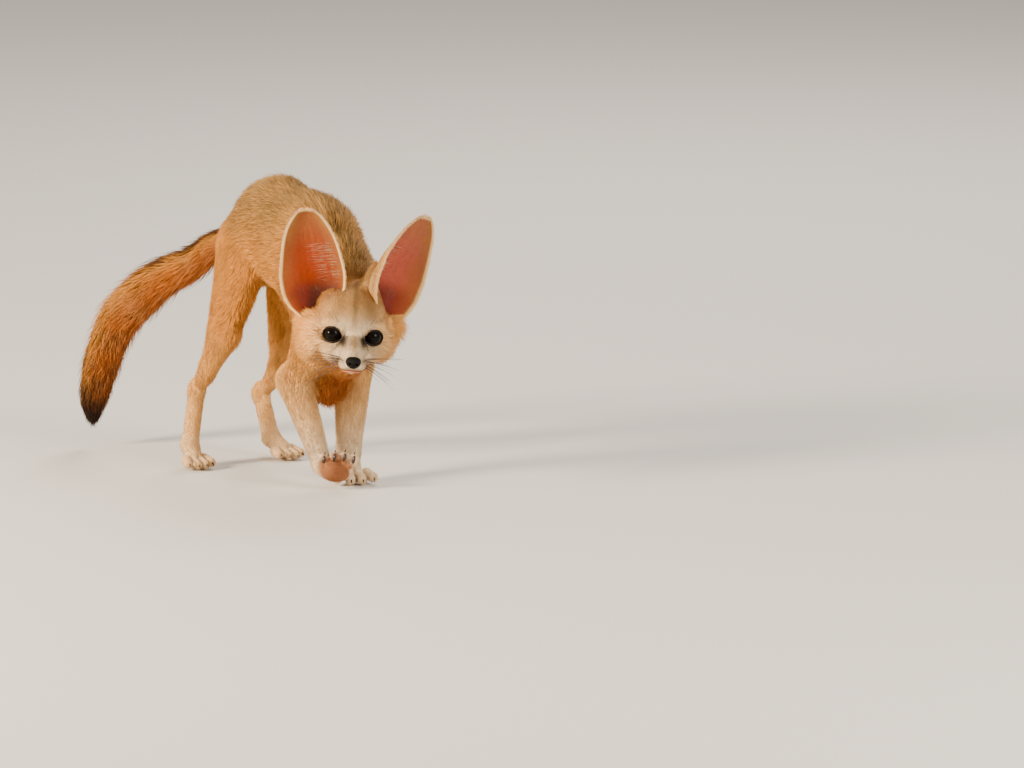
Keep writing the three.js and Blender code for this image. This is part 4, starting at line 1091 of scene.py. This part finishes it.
def tail_hair(count, bends=2):
    reach = np.interp(draw.random(count), np.cumsum(tail_core) / tail_core.sum(), tail_reach) * 0.985 + 2
    angle = draw.uniform(-np.pi, np.pi, count)
    place = reach / TAIL_LENGTH
    length = TAIL_HAIR_LENGTH * np.interp(place, [0, 0.1, 0.3, 0.85, 1], [0.55, 0.8, 1, 0.9, 0.55])
    length = length * draw.uniform(0.7, 1.2, count)
    outward = draw.uniform(0.72, 1.05, count)
    stray = draw.random(count) < TAIL_STRAYS
    outward[stray] = draw.uniform(1.05, 1.3, stray.sum())
    locks = patterned(np.column_stack([reach, angle * 12, angle * 0]), 14, 61)
    lean = draw.normal(0, 0.16, count) + 0.25 * locks
    length = np.maximum(np.minimum(length, TAIL_LENGTH + draw.uniform(-5, 5, count) - reach), 4)
    width = draw.uniform(0.5, 0.9, count) / math.sqrt(THIN)
    stations = np.linspace(0, 1, bends + 1)
    rise = np.interp(stations, [0, 0.33, 0.66, 1], [0, 0.5, 0.84, 1])
    rings = []
    for t, up, wide in zip(stations, rise, TUFT_SWELL[bends]):
        far = reach + t * length * 0.97
        w = units(along_tail(tail_ahead, far))
        upper = units(off(along_tail(tail_upper, far), w))
        turn = (angle + lean * t * t)[:, None]
        out = upper * np.cos(turn) + np.cross(w, upper) * np.sin(turn)
        core, radius = along_tail(tail_core, far), along_tail(tail_radius, far)
        radial = core - 0.5 + (np.maximum(radius * outward, core) - core + 0.5) * up
        past = np.maximum(0, far - TAIL_LENGTH)
        centre = along_tail(tail_line, far) + w * past[:, None] + out * radial[:, None]
        rings.append(tuft_ring(centre, np.cross(out, w), out, width, wide))
        if t == 0:
            base = tail_colour(centre) * (1 + draw.normal(0, 0.1, count)).clip(0.6, 1.4)[:, None]
    dark = draw.random(count) < 0.04 + 0.2 * smooth(place, 0.5, 0.9) + 0.12 * smooth(np.cos(angle), 0.3, 1)
    tip = np.where(dark[:, None], mix(BROWN_DARK, RUST, 0.3), base * 1.15)
    unwrap = to_patch(angle / (2 * np.pi), place)
    order = np.argsort(place, kind="stable")
    for k, part in pieces(order, bends):
        tufts = [ring[part] for ring in rings]
        # Each hair darkens towards its root: painted shade inside the tail's coat.
        tuft_rings(f"coat_tail_{k}", tufts, stations, (base[part] * 0.62, tip[part]), tail_material,
                   "coat_tail", unwrap[part])


tail_hair(int(TAIL_HAIRS * THIN))


# Ears

def knots(t, at, values):
    """Smooth curve through knots (monotone cubic)."""
    at, values = np.asarray(at, float), np.asarray(values, float)
    h = np.diff(at)
    s = np.diff(values) / h
    before, after = s[:-1], s[1:]
    turning = before * after <= 0
    inner = np.where(turning, 0, 2 * before * after / np.where(turning, 1, before + after))
    m = np.concatenate([[s[0]], inner, [s[-1]]])
    t = np.clip(t, at[0], at[-1])
    i = np.clip(np.searchsorted(at, t, side="right") - 1, 0, len(at) - 2)
    x = (t - at[i]) / h[i]
    return ((1 + 2 * x) * (1 - x) ** 2 * values[i] + x * (1 - x) ** 2 * h[i] * m[i]
            + x * x * (3 - 2 * x) * values[i + 1] + x * x * (x - 1) * h[i] * m[i + 1])


def ear_surface(ear, t, a):
    """Points of the ear's middle sheet at shares t along and a across, a from -1 at the inner edge to 1."""
    base, reach, along, outward, facing = ear_axes(ear)
    inner, outer = knots(t, EAR_WIDTH_AT, ear["inner"]), knots(t, EAR_WIDTH_AT, ear["outer"])
    x = np.where(a < 0, a * inner, a * outer)
    x = x - knots(t, EAR_DEPTH_AT, ear["curl"]) * np.where(a < 0, np.sin(-np.pi * a), 0)
    z = knots(t, EAR_DEPTH_AT, ear["depth"]) * (np.abs(a) ** 2.6 - 1)
    z = z + 0.35 * np.sin(a * 26) * (1 - np.abs(a)) * smooth(t, 0.1, 0.3) * smooth(t, 0.95, 0.6)
    return base + along * (reach * t)[..., None] + outward * x[..., None] + facing * z[..., None]


def scalp_share(t, a):
    """How far the inner foot of an ear wears the colour of the scalp."""
    return smooth(t, 0.5, 0.15) * smooth(-a, 0.1, 0.45) * smooth(-a, 1.0, 0.93)


EAR_ROWS, EAR_TIP_ROWS, EAR_COLUMNS = 72, 14, 56
EAR_BACK_TUFTS, EAR_RIM_TUFTS = 11000, 2600
EAR_CUP_HAIRS, EAR_FOOT_HAIRS = 190, 90
HAIR_ROWS = 13


def ear_inside(side, t, a, points):
    """Colours of the cup: a painted glow of light through the middle, strong on the lit right ear, whose
    pink is warmer than the left ear's shaded rose; painted shade towards the inner edge and at the foot;
    darker veins and tan margins; and a pale rim.
    """
    grain = patterned(points, 6, 41)
    # The right ear is the lit one: a warmer pink and a strong painted glow of light shining through it; the
    # left ear's rose is its shaded copy.
    lit = side == "right"
    glow = hill(t, 0.42, 0.3) * hill(a, 0.1, 0.55) * (0.75 + 0.25 * grain)
    margin = smooth(np.abs(a), 0.4, 0.95) * 0.6 + smooth(t, 0.55, 0.95) * 0.5
    shadow = smooth(-a, 0.1, 0.8) * 0.12 + 0.12 * patterned(points, 14, 43)
    wave = np.abs(np.sin(a * 5.5 + 1.1 * np.sin(t * 7) + 0.6 * grain))
    veins = smooth(wave, 0.12, 0.0) * smooth(t, 0.2, 0.4)
    return painted(
        EAR_PINK if lit else EAR_ROSE_SHADED,
        (EAR_GLOW, glow * (0.9 if lit else 0.12)),
        (EAR_MARGIN, margin * (0.8 + 0.2 * grain)),
        (EAR_DEEP, shadow),
        (EAR_DEEP, veins * 0.28 * (1 - np.abs(a))),
        # Painted shade at the foot of the cup.
        (EAR_DEEP, smooth(t, 0.3, 0.07) * (1 - np.abs(a) ** 3) * 0.92),
        (CREAM, smooth(np.abs(a), 0.93, 0.985) * 0.95),
        (CREAM, smooth(t, 0.96, 0.99) * 0.8),
    ), painted(painted(SAND_PALE, (SAND, 0.5 + 0.5 * grain)) * 0.8, (BUFF, scalp_share(t, a)))


def make_ear(side):
    ear = EARS[side]
    facing = ear_axes(ear)[4]
    low = np.linspace(-0.14, 0.9, EAR_ROWS - EAR_TIP_ROWS)
    rows = np.concatenate([low, np.linspace(0.905, 1, EAR_TIP_ROWS)])
    columns = np.sin(np.linspace(-1, 1, EAR_COLUMNS) * np.pi / 2)
    t, a = np.meshgrid(rows, columns, indexing="ij")
    middle = ear_surface(ear, t, a)
    normal = units(np.cross(np.gradient(middle, axis=0), np.gradient(middle, axis=1)))
    if (normal * facing).sum() < 0:
        normal = -normal
    thick = (knots(t, [-0.14, 0.4, 1], [3.0, 2.2, 1.3]) * (1 - 0.45 * np.abs(a) ** 3))[..., None]
    front, back = [(middle + normal * thick * share).reshape(-1, 3) for share in (0.5, -0.5)]
    points = np.concatenate([front, back])
    index = np.arange(t.size).reshape(t.shape)
    cell = np.stack([index[:-1, :-1], index[:-1, 1:], index[1:, 1:], index[1:, :-1]], -1).reshape(-1, 4)
    rim = np.concatenate([index[0], index[1:, -1], index[-1, -2::-1], index[-2:0:-1, 0]])
    ahead = np.roll(rim, -1)
    quads = [cell, cell[:, ::-1] + t.size, np.stack([ahead, rim, rim + t.size, ahead + t.size], -1)]
    quads = np.concatenate(quads)
    e, f = [points[cell[:, k]] - points[cell[:, 0]] for k in (1, 2)]
    if (np.cross(e, f - e) * normal[:-1, :-1].reshape(-1, 3)).sum() < 0:
        quads = quads[:, ::-1]
    colour = np.concatenate(ear_inside(side, t.reshape(-1), a.reshape(-1), front))
    finished(new_mesh(f"ear_skin_{side}", points, quads, ear_material, colour), "ear_skin", f"ear_{side}")


def ear_coat(side):
    """Velvet on the back of the ear, a pale fringe on its rim and rows of pale hairs across its cup."""
    ear = EARS[side]
    facing = ear_axes(ear)[4]

    def frame_at(t, a):
        h = 0.01
        p = ear_surface(ear, t, a)
        du = ear_surface(ear, t + h, a) - p
        dv = ear_surface(ear, t, np.clip(a + h, -1, 1)) - ear_surface(ear, t, np.clip(a - h, -1, 1))
        n = units(np.cross(du, dv))
        return p, units(du), units(dv), n * np.sign((n * facing).sum(1))[:, None]

    def grow(name, slot, t, a, p, n, flow, length, width, lift, colours, bends=1, curl=None):
        tuft_mesh(f"{name}_{side}", p, n, flow, length, np.full(len(t), width), lift, colours,
                  coat_material, slot, to_patch(a * 0.48 / PATCH_SPAN, t), bends, curl)

    total = int(EAR_BACK_TUFTS * THIN)
    t = draw.uniform(-0.06, 0.985, total)
    a = draw.uniform(-0.99, 0.99, total)
    keep = draw.random(total) < (knots(t, EAR_WIDTH_AT, ear["outer"]) / 27)
    t, a = t[keep], a[keep]
    p, up, across, n = frame_at(t, a)
    flow = units(up + across * (a * 0.25 + draw.normal(0, 0.15, len(t)))[:, None])
    colour = painted(SAND_PALE, (SAND, 0.5 + 0.6 * patterned(p, 8, 42)),
                     (CREAM, smooth(np.abs(a), 0.8, 0.98)), (BUFF, scalp_share(t, a)))
    colour = colour * draw.uniform(0.85, 1.12, len(t))[:, None]
    grow("coat_ear_back", "coat_side", t, a, p - n * 0.9, -n, flow, draw.uniform(3, 5, len(t)), 0.7,
         draw.uniform(6, 13, len(t)), (colour * 0.8, colour))

    total = int(EAR_RIM_TUFTS * THIN)
    t = draw.uniform(0.0, 0.985, total)
    sign = np.where(draw.random(total) < 0.5, -1.0, 1.0)
    tips = draw.random(total) < 0.12
    t = np.where(tips, draw.uniform(0.97, 0.995, total), t)
    a = sign * np.where(tips, draw.uniform(0, 1, total), draw.uniform(0.93, 0.995, total))
    p, up, across, n = frame_at(t, a)
    forward = draw.normal(0.15, 0.35, total)[:, None]
    flow = units(across * np.sign(a)[:, None] * 0.75 + up * 0.5 + n * forward)
    colour = WHITE_FUR * draw.uniform(0.95, 1.1, total)[:, None]
    grow("coat_ear_rim", "coat_side", t, a, p, n, flow, draw.uniform(1.6, 3.2, total), 0.5,
         draw.uniform(0, 10, total), (colour * 0.85, colour))

    total, low = EAR_CUP_HAIRS + EAR_FOOT_HAIRS, EAR_FOOT_HAIRS
    row = draw.integers(0, HAIR_ROWS, total)
    jitter = draw.normal(0, 0.006, total - low)
    t = np.concatenate([0.2 + 0.034 * row[low:] + jitter, draw.uniform(0.02, 0.1, low)])
    a = np.concatenate([-draw.uniform(0.3, 0.92, total - low), draw.uniform(-0.8, 0.5, low)])
    p, up, across, n = frame_at(t, a)
    rises = np.concatenate([draw.normal(0.04, 0.09, total - low), draw.normal(3, 0.6, low)])
    flow = units(across + up * rises[:, None] + n * 0.05)
    colour = mix(WHITE_FUR, EAR_PINK, 0.5)[None] * draw.uniform(0.6, 1.1, total)[:, None]
    # The hairs at the foot of the cup are darkened as painted shade, like the skin under them.
    colour[total - low:] *= 0.4
    length = knots(t, EAR_WIDTH_AT, ear["inner"]) * draw.uniform(0.3, 0.8, total)
    length[total - low:] *= 0.6
    grow("ear_hairs", "coat_face", t, a, p + n, n, flow, length.clip(3), 0.2, draw.uniform(3, 14, total),
         (colour * 0.9, colour), 3, draw.normal(0.02, 0.07, total))


for side in EARS:
    make_ear(side)
    ear_coat(side)


# Eyes, lids, nose, mouth

EYE_BLACK, EYE_BROWN = srgb("060403"), srgb("1a0d06")
LID_COLOUR, NOSE_COLOUR, LIP_DARK, LIP_PINK = srgb("120b09"), srgb("070505"), srgb("5a2c1f"), srgb("b4694c")
CLAW_COLOUR, WHISKER_COLOUR = srgb("2c1c14"), srgb("3a2a20")
NOSE_STEP = 0.42
EYE_ROWS, EYE_COLUMNS, CORNEA = 48, 64, 0.5


def eyeball(side, m):
    """A sphere whose front swells a little into a cornea, with a shallow ring where it starts."""
    axes, radius, around = np.array(eye_axes(m)), EYE_RADIUS - 0.2, EYE_COLUMNS
    theta = np.linspace(0, np.pi, EYE_ROWS)[1:-1]
    phi = np.linspace(0, 2 * np.pi, around, endpoint=False)
    th, ph = np.meshgrid(theta, phi, indexing="ij")
    r = radius + CORNEA * smooth(th, 0.85, 0.2) - 0.12 * hill(th, 0.88, 0.07)
    local = np.stack([np.sin(th) * np.cos(ph), np.sin(th) * np.sin(ph), np.cos(th)], -1) * r[..., None]
    ends = np.array([[0, 0, radius + CORNEA], [0, 0, -radius]]) @ axes
    points = np.concatenate([local.reshape(-1, 3) @ axes, ends]) + eye_centre(m)
    index = np.arange(th.size).reshape(th.shape)
    after = np.roll(index, -1, axis=1)
    quads = np.stack([index[:-1], index[1:], after[1:], after[:-1]], -1)
    top = np.column_stack([np.full(around, th.size), index[0], after[0]])
    bottom = np.column_stack([np.full(around, th.size + 1), after[-1], index[-1]])
    loops = np.concatenate([part.reshape(-1) for part in (quads, top, bottom)])
    sizes = np.repeat([4, 3], [quads.size // 4, 2 * around])
    iris = hill(np.concatenate([th.reshape(-1), [0, np.pi]]), 0.66, 0.16)
    colour = painted(EYE_BLACK, (EYE_BROWN, iris * (0.6 + 0.4 * patterned(points, 1.2, 51))))
    thing = new_mesh(f"eyeball_{side}", points, loops, eye_material, colour, sizes=sizes)
    return finished(thing, "eye", f"eye_{side}")


eye_material = coloured("eye_wet", 0.06, 1500, 0.15, 0, Specular_IOR_Level=0.1)
lid_material = coloured("lid", 0.5, 1400, 0.3, 0.4, Specular_IOR_Level=0.2)
nose_material = coloured("nose_skin", 0.45, 2600, 0.35, 0.7, Specular_IOR_Level=0.12)
horn_material = coloured("claw_horn", 0.3, 900, 0.25, 0.1, Specular_IOR_Level=0.5)
whisker_material = coloured("whisker", 0.35, 400, 0.15, 0, Specular_IOR_Level=0.45)


def swept(path, radii, around=8, press=1.0, hint=UP, closed=False):
    """Tube along a path of points, with a radius at each."""
    path, radii = np.asarray(path, float), np.asarray(radii, float)
    step = np.roll(path, -1, 0) - np.roll(path, 1, 0) if closed else np.gradient(path, axis=0)
    ahead = units(step)
    u = units(off(np.broadcast_to(np.asarray(hint, float), path.shape), ahead))
    v = np.cross(ahead, u)
    angle = np.linspace(0, 2 * np.pi, around, endpoint=False)
    ring = u[:, None] * np.cos(angle)[None, :, None] + v[:, None] * (np.sin(angle) * press)[None, :, None]
    points = (path[:, None] + ring * radii[:, None, None]).reshape(-1, 3)
    index = np.arange(len(points)).reshape(len(path), around)
    rows, after = (index, np.roll(index, -1, 0)) if closed else (index[:-1], index[1:])
    quads = np.stack([rows, np.roll(rows, -1, 1), np.roll(after, -1, 1), after], -1).reshape(-1, 4)
    loops, sizes = quads.reshape(-1), np.full(len(quads), 4)
    if not closed:
        loops = np.concatenate([loops, index[0][::-1], index[-1]])
        sizes = np.concatenate([sizes, [around, around]])
    return points, loops, sizes


def tube_piece(name, tube, material, colour, slot):
    points, loops, sizes = tube
    return finished(new_mesh(name, points, loops, material, colour, sizes=sizes), slot)


def joined(tubes):
    points, loops, sizes, shift = [], [], [], 0
    for p, l, s in tubes:
        points.append(p)
        loops.append(l + shift)
        sizes.append(s)
        shift += len(p)
    return np.concatenate(points), np.concatenate(loops), np.concatenate(sizes)


for m, side in ((-1, "right"), (1, "left")):
    u, v, w = eye_axes(m)
    eyeball(side, m)
    angle = np.linspace(0, 2 * np.pi, 64, endpoint=False)
    inner = -m if u @ LEFT > 0 else m
    to_corner = np.maximum(0, np.cos(angle + inner * 0.35) * inner) ** 10
    wide = np.cos(angle) * (LID_WIDE + 0.1) + inner * to_corner * 3.2
    tall = np.sin(angle) * (LID_TALL + 0.1)
    depth = np.sqrt(np.maximum((EYE_RADIUS + 0.15) ** 2 - wide ** 2 - tall ** 2, 20))
    path = eye_centre(m) + wide[:, None] * u + tall[:, None] * v + depth[:, None] * w
    lid = swept(path, 0.8 + 0.8 * to_corner, 10, 1.0, w, True)
    tube_piece(f"lid_{side}", lid, lid_material, LID_COLOUR, "nose")


def nose_forms():
    pad = [
        head_egg((40.2, 0, -14.6), [5, 5.4, 4.9], 1.5, "muzzle", (1, 0, 0)),
        head_bone((38.8, -2.9, -13.2), (38.8, 2.9, -13.2), 3.7, 3.7, 3, "muzzle", (1, 0, 0)),
    ]
    for m in (-1, 1):
        nostril = [turned(0.9, m * 0.4, 0), turned(-m * 0.4, 0.9, 0.25), turned(0, -0.25, 1)]
        pad.append(head_egg((44.6, m * 3.1, -14.6), [2.6, 1.15, 1.0], 0.6, "muzzle", None, nostril, True))
        pad.append(head_egg((42.4, m * 5.4, -15.2), [2.4, 1.6, 0.6], 0.5, "muzzle", None, hollow=True))
    pad.append(head_egg((45.2, 0, -17.2), [1.6, 0.35, 3.0], 0.5, "muzzle", None, hollow=True))
    for form in pad:
        form.coat = 0.15 if not form.hollow else 0
    return pad


pad = nose_forms()
centre = in_head(40, 0, -14.7)
nose_grid, nose_corner = field_grid(pad, centre - 11, centre + 11, NOSE_STEP)
nose_points, nose_quads = surface_nets(nose_grid, nose_corner, NOSE_STEP)
nose_points = onto_surface(nose_points, pad, 2, 0.2)
nose_colour = NOSE_COLOUR * (1 + 0.3 * patterned(nose_points, 1.5, 52))[:, None]
finished(new_mesh("nose_pad", nose_points, nose_quads, nose_material, nose_colour), "nose", "nose")


QUARTERS = [0, 0.25, 0.5, 0.75, 1]


def lip(name, line, widths, around, press, colour, slot):
    radii = np.interp(np.linspace(0, 1, len(line)), QUARTERS, widths)
    tube_piece(name, swept(line, radii, around, press, TOP), lid_material, colour, slot)


half = [(24, 12, -22.3), (28, 10.5, -22.7), (32, 8.4, -22.6), (35.5, 5.0, -22.2), (37.3, 1.6, -21.6)]
mouth = centripetal([in_head(f, -l, u) for f, l, u in half] + [in_head(*p) for p in half[::-1]], 60)
lip("lip_line", mouth, [0.1, 0.22, 0.42, 0.22, 0.1], 8, 1.0, LIP_DARK, "nose")
lip("lip_low", mouth[14:47] - TOP * 1.1 - FORWARD * 0.8, [0.2, 0.8, 1.15, 0.8, 0.2], 10, 0.8, LIP_PINK,
    "coat_face")


# Claws and whiskers

TOE_PAD = (3.6, 7.4)


def claws():
    tubes = []
    for paw in PAWS.values():
        for place, far in TOE_ROW:
            ahead, up, radius = paw["forward"], paw["up"], paw["radius"]
            root = toe_tip(paw, place, far) + ahead * radius * 0.4 + up * radius * 0.1
            t = np.linspace(0, 1, 9)[:, None]
            path = root + ahead * (t * 6.6 - 1.6) + up * (0.5 * np.sin(t * 2.2) - 2.1 * t * t + 0.2)
            tubes.append(swept(path, 1.6 * (1 - 0.86 * t[:, 0] ** 1.4), 8, 0.75, up))
    ahead, up = raised["forward"], raised["up"]
    broad, long = TOE_PAD
    for place, far in TOE_ROW:
        centre = toe_tip(raised, place, far) + ahead * 0.5 - up * (raised["radius"] + 0.2)
        t = np.linspace(0, 1, 13)[:, None]
        path = centre + ahead * (t - 0.5) * long + up * 2.2 * (t - 0.2) ** 2
        tubes.append(swept(path, broad / 2 * np.sqrt(1.02 - (2 * t[:, 0] - 1) ** 2), 12, 0.8, up))
    points, loops, sizes = joined(tubes)
    points[:, 2] = np.maximum(points[:, 2], 0.75)
    return points, loops, sizes


tube_piece("claws", claws(), horn_material, CLAW_COLOUR, "claw")


def whisker(root, aim, reach, bend, steps, ends, hint):
    t = np.linspace(0, 1, steps)[:, None]
    path = root + aim * (t * reach) + bend * (t * t)
    return swept(path, np.interp(t[:, 0], [0, 1], ends), 5, 1.0, hint)


def whiskers():
    """Four rows on each side of the muzzle, and three hairs over each eye."""
    tubes = []
    for m in (-1, 1):
        for row in range(4):
            for k in range(4):
                root = in_head(32 - 4.2 * k - 1.2 * row, m * (8.2 + 1.0 * k), -14.5 - 2.1 * row)
                reach = draw.uniform(34, 58) * (1 - 0.12 * abs(row - 1.5)) * (0.7 + 0.1 * k)
                back, rise = -0.25 - 0.1 * k + draw.normal(0, 0.08), 0.1 - 0.2 * row + draw.normal(0, 0.07)
                bend = turned(-0.30, 0, -0.30 - 0.06 * row) * reach * 0.45
                tubes.append(whisker(root, unit(turned(back, m, rise)), reach, bend, 12, [0.26, 0.06], TOP))
        for k in range(3):
            root = in_head(4 - 3 * k, m * (14 + 2.5 * k), 11.5)
            aim = unit(turned(0.35, m * (0.35 + 0.25 * k), 0.8))
            bend = turned(-0.5, m * 0.2, 0) * 6
            tubes.append(whisker(root, aim, 20 - 3 * k, bend, 10, [0.2, 0.05], FORWARD))
    return joined(tubes)


tube_piece("whiskers", whiskers(), whisker_material, WHISKER_COLOUR, "whisker")


# Floor, light and camera

FLOOR_HALF = 6.0
floor_mesh = bpy.data.meshes.new("floor")
floor_corners = [(x * FLOOR_HALF, y * FLOOR_HALF, 0) for x, y in ((-1, -1), (1, -1), (1, 1), (-1, 1))]
floor_mesh.from_pydata(floor_corners, [], [(0, 1, 2, 3)])
floor_mesh.materials.append(shader("floor", 0.9, Base_Color=(0.72, 0.70, 0.67, 1))[0])
placed("floor", floor_mesh)

world = bpy.data.worlds.new("studio")
world.use_nodes = True
sky = world.node_tree.nodes["Background"].inputs
sky["Color"].default_value, sky["Strength"].default_value = (1.0, 0.92, 0.82, 1), 0.6
bpy.context.scene.world = world

AZIMUTH, ELEVATION, DISTANCE = math.radians(30), math.radians(10), 7.0
PIXEL = 0.87 * MM
PHOTO_WIDE, PHOTO_TALL = 1024, 768
GROUND_AT = (297, 472)
right = Vector((math.cos(AZIMUTH), -math.sin(AZIMUTH), 0))
level = math.cos(ELEVATION)
toward = Vector((-math.sin(AZIMUTH) * level, -math.cos(AZIMUTH) * level, math.sin(ELEVATION)))
above = toward.cross(right)
ground = Vector(ORIGIN * MM)


def area_light(name, place, size, power, colour):
    lamp = bpy.data.lights.new(name, "AREA")
    lamp.shape, lamp.size, lamp.energy, lamp.color = "DISK", size, power, colour
    aimed(name, lamp, place, middle)


middle = Vector((0, 0, 0.13))
area_light("key", middle - right * 2.0 + above * 0.62 + toward * 1.2, 0.7, 150, (1.0, 0.83, 0.62))
area_light("fill", middle + right * 1.6 + above * 0.8 + toward * 1.8, 1.4, 52, (1.0, 0.92, 0.8))
area_light("rim", middle + right * 0.7 + above * 2.3 - toward * 1.7, 1.2, 48, (1.0, 0.93, 0.84))

camera = bpy.data.cameras.new("camera")
camera.sensor_width = 36
camera.lens = DISTANCE / PIXEL / PHOTO_WIDE * camera.sensor_width
camera.clip_start, camera.clip_end = 0.1, 50
eye = ground + toward * DISTANCE
across, up = PHOTO_WIDE / 2 - GROUND_AT[0], GROUND_AT[1] - PHOTO_TALL / 2
target = ground + right * across * PIXEL + above * up * PIXEL
bpy.context.scene.camera = aimed("camera", camera, eye, target)
